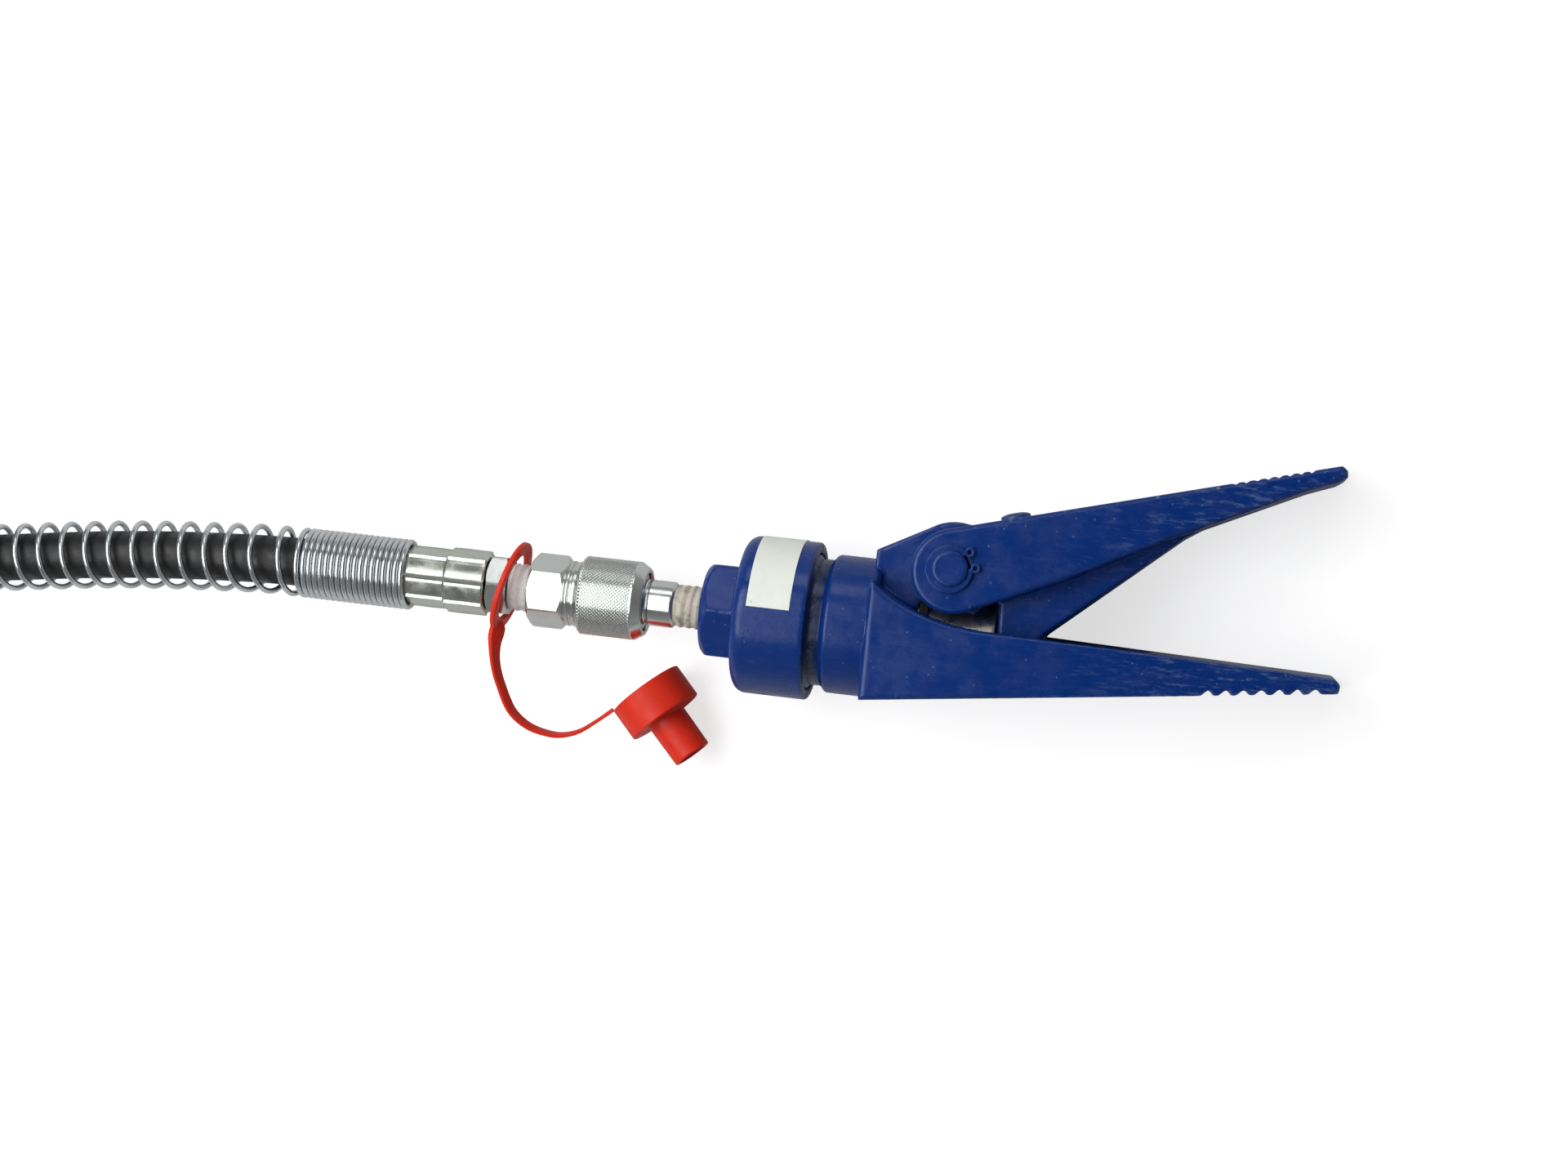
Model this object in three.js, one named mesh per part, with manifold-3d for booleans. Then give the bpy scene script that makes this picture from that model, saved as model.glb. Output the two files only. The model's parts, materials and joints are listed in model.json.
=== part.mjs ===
// Hydraulic rescue spreader: a wedge of two steel jaws that a plunger pushes open, with its screw
// coupler, tethered dust cap and spring-guarded hose. Units are millimetres and +Z is up.
//
// The tool lies on its side. In the tool's own frame X runs along the hydraulic axis towards the
// jaw tips, Y is the way the jaws open, Z is the way up, and X = 0 is the end cap's front face.
import * as THREE from 'three';
import { mergeVertices } from 'three/addons/utils/BufferGeometryUtils.js';
import Module from 'manifold-3d';

const wasm = await Module();
wasm.setup();

// ---- driving dimensions ---------------------------------------------------------------------
const GAP = 0.3;                 // between pieces that touch
const ROUND = 40;                // sides of the large turned pieces
const SMALL_ROUND = 24;          // sides of the small ones

const CAP_R = 27.7;              // end cap
const CAP_LENGTH = 26;
const CAP_CUP_DEPTH = 13.9;
const CAP_CUP_R = 24;
const BOSS_FLATS = 32;           // hexagon boss behind the cap, across flats
const BOSS_LENGTH = 13.1;
const PORT_R = 6.9;              // threaded oil ports
const OILWAY_R = 2.5;

const NECK_R = 24.2;             // cylinder barrel, in front of the cap
const UNDERCUT_R = 22.1;
const BARREL_REAR = -11.2;
const PISTON_BORE_R = 16.5;
const PISTON_BORE_END = 20.6;
const GUIDE_BORE_R = 14.3;

const BLOCK_LEFT = 20.8;         // the fixed jaw's block
const BLOCK_HALF = 25;
const JAW_HALF = 22;             // half width of both jaws at the tips
const LOWER_TIP_X = 181.4;
const LUG_HALF = 11.4;           // the fixed lug between the moving jaw's cheeks
const LUG_R = 16.2;
const TROUGH_HALF = 15;
const TROUGH_REAR = 46.5;

const PIVOT = new THREE.Vector2(47.3, 23.7);
const PIN_R = 6.3;
const PIN_BORE_R = 6.5;
const PIN_HALF = 25.4;
const CIRCLIP_INNER = JAW_HALF + 0.75;
const CIRCLIP_THICK = 1.2;

const CHEEK_INNER = 11.9;        // the moving jaw's slot, half width
const CHEEK_R = 14.6;
const CHEEK_CENTRE = new THREE.Vector2(48.3, 22.9);
const SLOT_R = 16.7;
const WEB_LEFT = 63.4;           // where the moving jaw's slot ends and its heel begins
const JAW_TRAVEL = 27;           // degrees from fully open, as it lies, to closed
const HEEL_HALF = 13;
const NOSE = new THREE.Vector2(70.4, -3);
const NOSE_R = 5;

const PLUNGER_R = 14;
const PLUNGER_END = 63.9;
const PISTON_R = 16.2;
const PISTON_FRONT = 20;
const PISTON_REAR = 8;

const SCREW_SEAT_X = 66;         // return spring's screw in the moving jaw's outer face
const SCREW_DEPTH = 9;
const SCREW_HEAD_R = 5.2;
const SPOT_FACE_DEPTH = 0.5;     // under the screw's head
const SPRING_FOOT = new THREE.Vector2(80, -3.4); // and its stud in the trough
const SPRING_R = 3.2;
const SPRING_SLOT_HALF = 4.6;
const STUD_R = 1.8;
const STUD_DEPTH = 8.3;          // below the spring's foot

const NIPPLE_R = 8.1;            // coupler, from the cap towards the hose
const NIPPLE_FRONT = -50.5;
const TAPE_TOOL_R = 7.8;
const COLLAR_R = 13.9;
const COLLAR_FRONT = -60.2;
const COLLAR_REAR = -83.9;
const HALF_NECK_R = 11.5;
const HALF_FLATS = 23;
const HALF_FRONT = -88.6;
const HALF_REAR = -102;
const TAPE_HOSE_R = 8.6;
const FITTING_FLATS = 19.8;
const FITTING_FRONT = -109.9;
const FITTING_THREAD_END = -95.4;
const FERRULE_FRONT = -117.8;
const FERRULE_R = 11.1;
const FERRULE_STEP = -132.1;
const FERRULE_REAR_R = 10.25;
const FERRULE_REAR = -153;

const HOSE_R = 8.65;
const HOSE_START = -145;         // in the ferrule's mouth, in the tool's frame
const GUARD_R = 12.6;            // spring guard round the hose
const GUARD_WIRE = 2.05;
const GUARD_FRONT = -145.6;
const GUARD_CLOSE_REAR = -183.7;
const GUARD_OPEN_END = 190;      // along the hose, from its start
const FAR_GUARD_REAR = -192;

const COIL_CENTRE = new THREE.Vector2(-438, 64.8);
const COIL_R = 88;               // to the middle of its turns
const COIL_PITCH = 17.7;
const COIL_LAYERS = 3;
const TIE_THICK = 1.2;
const TIE_WIDTH = 5;
const COIL_BASE = TIE_THICK + 0.4;

const DUST_HEAD_R = 14;          // dust cap
const DUST_HEAD_LENGTH = 12.7;
const DUST_STUB_R = 7.2;
const DUST_STUB_LENGTH = 16.5;
const DUST_FACE = new THREE.Vector2(-61.2, -31.3);
const DUST_TURN = THREE.MathUtils.degToRad(-47);
const STRAP_RING_X = -110;       // ring round the tape and the hose fitting
const STRAP_RING_R = 16.6;
const STRAP_RING_BORE = 13;
const STRAP_RING_LEAN = 13.8;    // degrees, about Z
const STRAP_THICK = 1.8;
const STRAP_WIDTH = 5;

// The tool rests on the cap's front rim and on the two tips, so its axis slopes down to the tips.
const TILT = Math.atan2(CAP_R - JAW_HALF, LOWER_TIP_X);

// ---- materials --------------------------------------------------------------------------------
const finish = (color, roughness, metalness) => () =>
  new THREE.MeshStandardMaterial({ color, roughness, metalness });
const blueEnamel = finish(0x0c2a86, 0.28, 0);
const groundSteel = finish(0xb4b4b0, 0.35, 1);
const zincPlate = finish(0xb9bcb4, 0.3, 1);
const springSteel = finish(0x9a9ca0, 0.4, 1);
const blackRubber = finish(0x16171a, 0.6, 0);
const sealRubber = finish(0x1c1c1e, 0.7, 0);
const redPlastic = finish(0xd8321c, 0.45, 0);
const threadTape = finish(0xe6e2d6, 0.8, 0);
const labelVinyl = finish(0xe9eaec, 0.5, 0);
const tiePlastic = finish(0x1d1d1f, 0.5, 0);

// ---- solids -----------------------------------------------------------------------------------
// A closed three.js geometry as a manifold-3d solid with its faces outward.
function solid(geometry) {
  const bare = geometry.clone();
  bare.deleteAttribute('uv');
  bare.deleteAttribute('normal');
  const merged = mergeVertices(bare, 1e-4);
  const p = merged.attributes.position;
  const corner = (i) => new THREE.Vector3().fromBufferAttribute(p, i);
  const triangles = [];
  let volume = 0;
  for (let i = 0; i < merged.index.count; i += 3) {
    const [a, b, c] = [0, 1, 2].map((k) => merged.index.getX(i + k));
    if (a === b || b === c || c === a) continue;
    triangles.push([a, b, c]);
    volume += corner(a).dot(corner(b).cross(corner(c)));
  }
  const outward = volume > 0 ? triangles : triangles.map(([a, b, c]) => [a, c, b]);
  return new wasm.Manifold(new wasm.Mesh({
    numProp: 3,
    vertProperties: new Float32Array(p.array),
    triVerts: new Uint32Array(outward.flat()),
  }));
}

// A solid back as a three.js geometry.
function toGeometry(body) {
  const mesh = body.getMesh();
  const geometry = new THREE.BufferGeometry();
  geometry.setAttribute('position', new THREE.BufferAttribute(new Float32Array(mesh.vertProperties), 3));
  geometry.setIndex(new THREE.BufferAttribute(new Uint32Array(mesh.triVerts), 1));
  geometry.computeVertexNormals();
  return geometry;
}

const ALONG_X = new THREE.Matrix4().makeRotationZ(-Math.PI / 2);

// A piece turned about X. The outline is a closed list of [x, radius].
function turned(outline, sides = SMALL_ROUND) {
  const points = [...outline, outline[0]].map(([x, radius]) => new THREE.Vector2(radius, x));
  return solid(new THREE.LatheGeometry(points, sides).applyMatrix4(ALONG_X));
}

const rod = (x0, x1, radius, sides) => turned([[x0, 0], [x1, 0], [x1, radius], [x0, radius]], sides);

const sleeve = (x0, x1, inner, outer, sides) =>
  turned([[x0, inner], [x1, inner], [x1, outer], [x0, outer]], sides);

// A flat outline in X and Y, as thick as 2 x half across Z, with a chamfer round its faces.
function plate(shape, half, chamfer = 0, curveSegments = 12) {
  const geometry = new THREE.ExtrudeGeometry(shape, {
    depth: 2 * (half - chamfer),
    bevelEnabled: chamfer > 0,
    bevelThickness: chamfer,
    bevelSize: chamfer,
    bevelOffset: -chamfer,
    bevelSegments: 1,
    curveSegments,
  });
  return solid(geometry.translate(0, 0, chamfer - half));
}

const outline = (points) => new THREE.Shape(points.map(([x, y]) => new THREE.Vector2(x, y)));

// A round bar across the tool, along Z.
const crossBar = (centre, radius, half, sides = SMALL_ROUND) => solid(
  new THREE.CylinderGeometry(radius, radius, 2 * half, sides)
    .rotateX(Math.PI / 2)
    .translate(centre.x, centre.y, 0),
);

// A round rod along Y.
const uprightRod = (x, y0, y1, radius) => solid(
  new THREE.CylinderGeometry(radius, radius, y1 - y0, 16).translate(x, (y0 + y1) / 2, 0),
);

// A hexagon bar along X, chamfered at both ends. A corner points up when cornerUp is true.
function hexBar(x0, x1, flats, cornerUp) {
  const corner = flats / 2 / Math.cos(Math.PI / 6);
  const bar = new THREE.CylinderGeometry(corner, corner, x1 - x0, 6);
  bar.applyMatrix4(ALONG_X);
  bar.rotateX(cornerUp ? 0 : Math.PI / 2);
  bar.translate((x0 + x1) / 2, 0, 0);
  const lead = (corner - flats / 2) * 0.9;
  const ends = turned([
    [x0, 0], [x1, 0], [x1, flats / 2], [x1 - lead * 0.6, corner + 0.05],
    [x0 + lead * 0.6, corner + 0.05], [x0, flats / 2],
  ]);
  return solid(bar).intersect(ends);
}

// A tube or sleeve along a curve.
function alongCurve(curve, steps, outer, inner = 0, sides = 12) {
  const circle = (radius) => Array.from({ length: sides }, (_, i) => {
    const angle = (i / sides) * 2 * Math.PI;
    return new THREE.Vector2(radius * Math.cos(angle), radius * Math.sin(angle));
  });
  const section = new THREE.Shape(circle(outer));
  if (inner > 0) section.holes.push(new THREE.Path(circle(inner).reverse()));
  return solid(new THREE.ExtrudeGeometry(section, { steps, extrudePath: curve, bevelEnabled: false }));
}

const place = (body, matrix) => solid(toGeometry(body).applyMatrix4(matrix));

function addTo(group, name, body, material) {
  const mesh = new THREE.Mesh(toGeometry(body), material());
  mesh.name = name;
  group.add(mesh);
}

// ---- the tool's frame pieces --------------------------------------------------------------------
// The line of the fixed jaw's outer face, and of its inner face.
const outerY = (x) => -24.4 + 0.1295 * (x - BLOCK_LEFT);
const innerY = (x) => 3.7 - 0.0195 * (x - 60);

// V notches across a jaw, each cut down from a face line into the metal.
function notches(first, pitch, count, depth, halfWidth, faceY, into) {
  return Array.from({ length: count }, (_, i) => {
    const x = first + i * pitch;
    const y = faceY(x);
    const over = depth * 0.6;
    const mouth = halfWidth * (1 + over / depth);
    return plate(outline([
      [x - mouth, y - into * over], [x + mouth, y - into * over], [x, y + into * depth],
    ]), BLOCK_HALF + 5);
  });
}

function lowerJaw() {
  const barrel = turned([
    [BARREL_REAR, 0], [BLOCK_LEFT + 2.4, 0], [BLOCK_LEFT + 2.4, NECK_R - 1.4], [BLOCK_LEFT + 1, NECK_R],
    [6.6, NECK_R], [5, UNDERCUT_R], [0.3, UNDERCUT_R], [-0.4, CAP_CUP_R - GAP],
    [BARREL_REAR + 1, CAP_CUP_R - GAP], [BARREL_REAR, CAP_CUP_R - GAP - 1],
  ], ROUND);
  const side = new THREE.Shape();
  side.moveTo(BLOCK_LEFT, outerY(BLOCK_LEFT));
  side.lineTo(LOWER_TIP_X - 0.4, outerY(LOWER_TIP_X));
  side.lineTo(LOWER_TIP_X, innerY(LOWER_TIP_X) - 2);
  side.lineTo(LOWER_TIP_X - 2, innerY(LOWER_TIP_X));
  side.lineTo(60, innerY(60));
  side.bezierCurveTo(43, 4.2, 29, 10.2, BLOCK_LEFT, 17.2);
  const block = plate(side, BLOCK_HALF, 1.2, 8);
  const taper = (sign) => solid(new THREE.ExtrudeGeometry(outline([
    [60, BLOCK_HALF], [LOWER_TIP_X, JAW_HALF], [LOWER_TIP_X + 5, JAW_HALF],
    [LOWER_TIP_X + 5, BLOCK_HALF + 5], [60, BLOCK_HALF + 5],
  ]), { depth: 60, bevelEnabled: false }).rotateX(sign * Math.PI / 2).translate(0, sign * 30, 0));
  const lugSide = new THREE.Shape();
  lugSide.moveTo(BLOCK_LEFT - 0.6, 0);
  lugSide.lineTo(BLOCK_LEFT - 0.6, 27.4);
  lugSide.lineTo(PIVOT.x - 8.34, PIVOT.y + 13.89);
  lugSide.absarc(PIVOT.x, PIVOT.y, LUG_R, THREE.MathUtils.degToRad(121), THREE.MathUtils.degToRad(-45), true);
  lugSide.lineTo(52, 0);
  const lug = plate(lugSide, LUG_HALF, 0.6, 24);
  const trough = plate(outline([
    [TROUGH_REAR, -16], [61.9, -16], [71.6, -9.9], [122, 3.7], [130, 30], [TROUGH_REAR, 30],
  ]), TROUGH_HALF);
  const teeth = notches(138.2, 5.88, 7, 2.1, 2.1, outerY, 1);
  return [
    rod(BARREL_REAR - 1, PISTON_BORE_END, PISTON_BORE_R, ROUND),
    rod(PISTON_BORE_END - 1, 75, GUIDE_BORE_R, ROUND),
    sleeve(37, 40.6, 0.1, GUIDE_BORE_R + 1.6, ROUND),
    uprightRod(SPRING_FOOT.x, SPRING_FOOT.y - STUD_DEPTH - 0.3, SPRING_FOOT.y, STUD_R + GAP),
    taper(1),
    taper(-1),
    ...teeth,
  ].reduce(
    (body, cutter) => body.subtract(cutter),
    barrel.add(block).subtract(trough).add(lug).subtract(crossBar(PIVOT, PIN_BORE_R, 30)),
  );
}

function endCap() {
  const cup = turned([
    [-CAP_LENGTH, 0], [-CAP_CUP_DEPTH, 0], [-CAP_CUP_DEPTH, CAP_CUP_R], [0, CAP_CUP_R],
    [0, CAP_R - 0.8], [-0.8, CAP_R], [-CAP_LENGTH + 2.8, CAP_R], [-CAP_LENGTH + 1, CAP_R - 1],
    [-CAP_LENGTH, CAP_R - 3],
  ], ROUND);
  return cup
    .add(hexBar(-CAP_LENGTH - BOSS_LENGTH, -CAP_LENGTH + 3, BOSS_FLATS, true))
    .subtract(rod(-CAP_LENGTH - BOSS_LENGTH - 1, -24, PORT_R, SMALL_ROUND))
    .subtract(rod(-25, 0, OILWAY_R, 16));
}

function label() {
  const inner = CAP_R + GAP;
  const wrap = new THREE.Shape();
  const start = THREE.MathUtils.degToRad(75);
  const end = THREE.MathUtils.degToRad(173);
  wrap.absarc(0, 0, inner + 0.4, start, end, false);
  wrap.absarc(0, 0, inner, end, start, true);
  const strip = new THREE.ExtrudeGeometry(wrap, { depth: 15, bevelEnabled: false, curveSegments: 16 });
  return solid(strip.rotateY(Math.PI / 2).translate(-20.5, 0, 0));
}

// ---- plunger ------------------------------------------------------------------------------------
function plunger() {
  return turned([
    [PISTON_REAR, 0], [PLUNGER_END, 0], [PLUNGER_END, PLUNGER_R - 0.8], [PLUNGER_END - 0.8, PLUNGER_R],
    [PISTON_FRONT, PLUNGER_R], [PISTON_FRONT, PISTON_R], [16, PISTON_R], [16, 13.2],
    [10.5, 13.2], [10.5, PISTON_R], [PISTON_REAR + 0.6, PISTON_R], [PISTON_REAR, PISTON_R - 0.6],
  ], ROUND);
}

// ---- pivot ------------------------------------------------------------------------------------
const ALONG_Z = new THREE.Matrix4().makeRotationY(-Math.PI / 2);

// A ring about the pivot's axis, from z0 to z1.
const pivotRing = (z0, z1, inner, outer) =>
  place(sleeve(z0, z1, inner, outer), ALONG_Z).translate([PIVOT.x, PIVOT.y, 0]);

function pivotPin() {
  const groove = [CIRCLIP_INNER - 0.1, CIRCLIP_INNER + CIRCLIP_THICK + 0.1];
  const bar = turned([
    [-PIN_HALF, 0], [PIN_HALF, 0], [PIN_HALF, PIN_R - 0.7], [PIN_HALF - 0.7, PIN_R],
    [0.7 - PIN_HALF, PIN_R], [-PIN_HALF, PIN_R - 0.7],
  ]);
  return place(bar, ALONG_Z).translate([PIVOT.x, PIVOT.y, 0])
    .subtract(pivotRing(groove[0], groove[1], PIN_R - 0.7, PIN_R + 1))
    .subtract(pivotRing(-groove[1], -groove[0], PIN_R - 0.7, PIN_R + 1));
}

// An external circlip, thicker opposite its gap, with an eared hole at each side of the gap.
function circlip(z) {
  const gapAngle = THREE.MathUtils.degToRad(26);
  const ring = new THREE.Shape();
  ring.absarc(-0.3, 0, 8.2, 0.3, 2 * Math.PI - 0.3, false);
  ring.absarc(0, 0, PIN_R - 0.7 + GAP / 2, 2 * Math.PI - 0.42, 0.42, true);
  const ears = [-1, 1].map((side) => {
    const ear = new THREE.Shape();
    ear.absarc(8.3, side * 2.9, 1.7, 0, 2 * Math.PI, false);
    ear.holes.push(new THREE.Path().absarc(8.3, side * 2.9, 0.8, 0, 2 * Math.PI, true));
    return plate(ear, CIRCLIP_THICK / 2, 0, 6);
  });
  return plate(ring, CIRCLIP_THICK / 2, 0, 14)
    .add(ears[0])
    .add(ears[1])
    .rotate([0, 0, THREE.MathUtils.radToDeg(gapAngle)])
    .translate([PIVOT.x, PIVOT.y, z]);
}

// ---- moving jaw -----------------------------------------------------------------------------------
const UPPER_SLOPE = 0.268;       // of the moving jaw's outer face
const upperY = (x) => 39.18 + UPPER_SLOPE * (x - 50.34);
const UPPER_ANGLE = Math.atan(UPPER_SLOPE);
const SCREW_AXIS = new THREE.Vector2(-Math.sin(UPPER_ANGLE), Math.cos(UPPER_ANGLE));
const SCREW_SEAT = new THREE.Vector2(SCREW_SEAT_X, upperY(SCREW_SEAT_X));
const SPRING_HEAD = SCREW_SEAT.clone().addScaledVector(SCREW_AXIS, -SCREW_DEPTH);

// The slot that the return spring swings in, from its line at rest to its line when closed.
function springSlot() {
  const closedFoot = SPRING_FOOT.clone().rotateAround(PIVOT, THREE.MathUtils.degToRad(JAW_TRAVEL));
  const beside = (foot, side, reach) => {
    const along = foot.clone().sub(SPRING_HEAD).normalize();
    const normal = new THREE.Vector2(-along.y, along.x);
    return SPRING_HEAD.clone().addScaledVector(along, reach)
      .addScaledVector(normal, side * SPRING_SLOT_HALF).toArray();
  };
  return plate(outline([
    beside(SPRING_FOOT, -1, -3), beside(SPRING_FOOT, -1, 44),
    beside(closedFoot, 1, 44), beside(closedFoot, 1, -2),
  ]), SPRING_SLOT_HALF);
}

function upperJaw() {
  const arm = new THREE.Shape();
  arm.absarc(CHEEK_CENTRE.x, CHEEK_CENTRE.y, CHEEK_R, UPPER_ANGLE + Math.PI / 2, 5.126, false);
  arm.lineTo(85.4, 23.6);
  arm.lineTo(119.2, 41.4);
  arm.lineTo(163.8, 62.9);
  arm.lineTo(173.4, 66.6);
  arm.lineTo(176.2, 68.6);
  arm.lineTo(175.9, 70.9);
  arm.lineTo(174, upperY(174));
  const heel = new THREE.Shape();
  heel.moveTo(WEB_LEFT, 34);
  heel.lineTo(64.7, 4.3);
  heel.absarc(NOSE.x, NOSE.y, NOSE_R, Math.PI, 1.76 * Math.PI, false);
  heel.lineTo(81, 4.5);
  heel.lineTo(124.2, 42.5);
  heel.lineTo(150, 60);
  const screwBore = crossToScrew(uprightRod(0, -SCREW_DEPTH - 4, 1, 2.9));
  const spotFace = crossToScrew(uprightRod(0, -SPOT_FACE_DEPTH, 2, SCREW_HEAD_R + 0.5));
  const teeth = notches(139.4, 3.52, 8, 1.0, 0.95, upperY, -1);
  return [
    crossBar(PIVOT, SLOT_R, CHEEK_INNER, ROUND),
    plate(outline([[40, -5], [WEB_LEFT, -5], [WEB_LEFT, PIVOT.y], [40, PIVOT.y]]), CHEEK_INNER),
    crossBar(PIVOT, PIN_BORE_R, 30),
    springSlot(),
    screwBore,
    spotFace,
    ...teeth,
  ].reduce(
    (body, cutter) => body.subtract(cutter),
    plate(arm, JAW_HALF + 0.2, 1.2, 24).add(plate(heel, HEEL_HALF, 1)),
  );
}

// Moves a piece made upright at the origin onto the spring screw's seat.
function crossToScrew(body) {
  return body
    .rotate([0, 0, THREE.MathUtils.radToDeg(UPPER_ANGLE)])
    .translate([SCREW_SEAT.x, SCREW_SEAT.y, 0]);
}

function springScrew() {
  const under = GAP - SPOT_FACE_DEPTH;
  const profile = [
    [0, -SCREW_DEPTH], [2.5, -SCREW_DEPTH], [2.5, under], [SCREW_HEAD_R, under], [SCREW_HEAD_R, 0.8],
    [4.4, 1.4], [2.8, 1.75], [0, 1.9],
  ].map(([radius, y]) => new THREE.Vector2(radius, y));
  return crossToScrew(solid(new THREE.LatheGeometry([...profile, profile[0]], 24)));
}

function returnSpring() {
  const along = SPRING_FOOT.clone().sub(SPRING_HEAD).normalize();
  const from = SPRING_HEAD.clone().addScaledVector(along, 3);
  const to = SPRING_FOOT.clone().addScaledVector(along, -4.5);
  const line = new THREE.LineCurve3(
    new THREE.Vector3(from.x, from.y, 0),
    new THREE.Vector3(to.x, to.y, 0),
  );
  return alongCurve(line, 1, SPRING_R);
}

function springStud() {
  return uprightRod(SPRING_FOOT.x, SPRING_FOOT.y - STUD_DEPTH, SPRING_FOOT.y + 1.4, STUD_R);
}

// ---- coupler --------------------------------------------------------------------------------------
const CHECK_SEAT = COLLAR_REAR + 5;   // where the two halves' inner ends meet

function nipple() {
  const body = turned([
    [CHECK_SEAT + 0.5, 0], [-27, 0], [-27, 6.3], [NIPPLE_FRONT + 0.9, 6.3],
    [NIPPLE_FRONT + 0.8, NIPPLE_R - 0.5], [NIPPLE_FRONT, NIPPLE_R - 0.5], [NIPPLE_FRONT, NIPPLE_R],
    [COLLAR_FRONT - 1, NIPPLE_R], [COLLAR_FRONT - 1, 9.9], [CHECK_SEAT + 6.7, 9.9],
    [CHECK_SEAT + 6.7, 6.9], [CHECK_SEAT + 3.5, 6.9], [CHECK_SEAT + 3.5, 5.9],
    [CHECK_SEAT + 1.7, 5.9], [CHECK_SEAT + 1.7, 6.9], [CHECK_SEAT + 0.5, 6.4],
  ]);
  return body.subtract(rod(CHECK_SEAT - 0.3, -26, OILWAY_R, 16));
}

// The collar's thread starts behind a groove for the wire ring that keeps it on the hose's half.
const RING_GROOVE = COLLAR_REAR + 0.6;

function collar() {
  return turned([
    [COLLAR_REAR, 11.8], [RING_GROOVE, 11.8], [RING_GROOVE, 12.5], [RING_GROOVE + 1.4, 12.5],
    [RING_GROOVE + 1.4, 11.8], [RING_GROOVE + 2.6, 11.8], [RING_GROOVE + 2.6, 10.2],
    [COLLAR_FRONT, 10.2], [COLLAR_FRONT, 11.8], [COLLAR_FRONT - 3.4, COLLAR_R],
    [COLLAR_REAR + 1.2, COLLAR_R], [COLLAR_REAR, COLLAR_R - 1.2],
  ], ROUND);
}

function hoseHalf() {
  const neck = turned([
    [HALF_FRONT - 1.5, 0], [CHECK_SEAT + 6, 0], [CHECK_SEAT + 6, 9.9], [RING_GROOVE + 2.2, 9.9],
    [RING_GROOVE + 2.2, HALF_NECK_R], [RING_GROOVE + 1.4, HALF_NECK_R], [RING_GROOVE + 1.4, 10.8],
    [RING_GROOVE, 10.8], [RING_GROOVE, HALF_NECK_R], [-86, HALF_NECK_R], [-86.4, 11],
    [-87.6, 11], [-88.2, HALF_NECK_R], [HALF_FRONT - 1.5, HALF_NECK_R],
  ]);
  return neck
    .add(hexBar(HALF_REAR, HALF_FRONT, HALF_FLATS, false))
    .subtract(rod(CHECK_SEAT - 0.2, CHECK_SEAT + 7, 7.2))
    .subtract(rod(HALF_FRONT - 3.5, CHECK_SEAT + 1, 3.2, 16))
    .subtract(rod(HALF_REAR - 1, HALF_FRONT - 2.5, PORT_R));
}

function hoseFitting() {
  return hexBar(FERRULE_FRONT + GAP, FITTING_FRONT, FITTING_FLATS, true)
    .add(rod(FITTING_FRONT - 1, FITTING_THREAD_END, 6.5))
    .subtract(rod(FERRULE_FRONT, FITTING_THREAD_END + 1, OILWAY_R, 16));
}

function ferrule() {
  return turned([
    [HOSE_START + GAP, 0], [FERRULE_FRONT, 0], [FERRULE_FRONT, FERRULE_R - 0.6],
    [FERRULE_FRONT - 0.6, FERRULE_R], [FERRULE_STEP, FERRULE_R], [FERRULE_STEP, FERRULE_REAR_R],
    [FERRULE_REAR, FERRULE_REAR_R], [FERRULE_REAR, HOSE_R + GAP], [HOSE_START + GAP, HOSE_R + GAP],
  ]);
}

const guardSleeve = (rear) => sleeve(rear, GUARD_FRONT, GUARD_R - GUARD_WIRE, GUARD_R, SMALL_ROUND);

// ---- hose -------------------------------------------------------------------------------------------
// The route's points are on the ground's frame: Z is the height of the hose's centre line.
const at = ([x, y, z]) => new THREE.Vector3(x, y, z);
const RUN_ROUTE = [
  [-145.2, 0, 32.25], [-155, 0, 32.5], [-170, 0, 32.6], [-185, 0, 32.1], [-200, -0.4, 31],
  [-215, -1.2, 29.5], [-230, -2.25, 27.6], [-245, -3.5, 25.5], [-260, -5, 23.4], [-275, -6.8, 21.3],
  [-290, -8.8, 19.3], [-305, -10.9, 17.5], [-320, -13, 16], [-335, -15.1, 14.8],
  [-350, -17.1, 13.7], [-365, -18.9, 12.7], [-380, -20.4, 11.8], [-395, -21.6, 11.1],
  [-410, -22.5, 10.6], [-424, -23.05, 10.35], [-438, -23.2, 10.25],
].map(at);
const TAIL_ROUTE = [
  [-526, 64.8, 45.65], [-526, 76, 45.4], [-526, 86, 44.5], [-526, 96, 43.1], [-526.1, 106, 41.1],
  [-526.3, 116, 38.5], [-526.6, 128, 35], [-526.9, 140, 31.6], [-527.2, 152, 28.1],
  [-527.5, 164, 24.7], [-527.8, 177, 21],
].map(at);

// The stretch of a curve between two distances from its start.
function stretch(curve, from, to, points = 14) {
  const length = curve.getLength();
  return new THREE.CatmullRomCurve3(Array.from({ length: points }, (_, i) =>
    curve.getPointAt((from + ((to - from) * i) / (points - 1)) / length)));
}

const runCurve = new THREE.CatmullRomCurve3(RUN_ROUTE);
const tailCurve = new THREE.CatmullRomCurve3(TAIL_ROUTE);
const COIL_TOP = COIL_BASE + 2 * HOSE_R + (COIL_LAYERS - 1) * COIL_PITCH;

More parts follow.
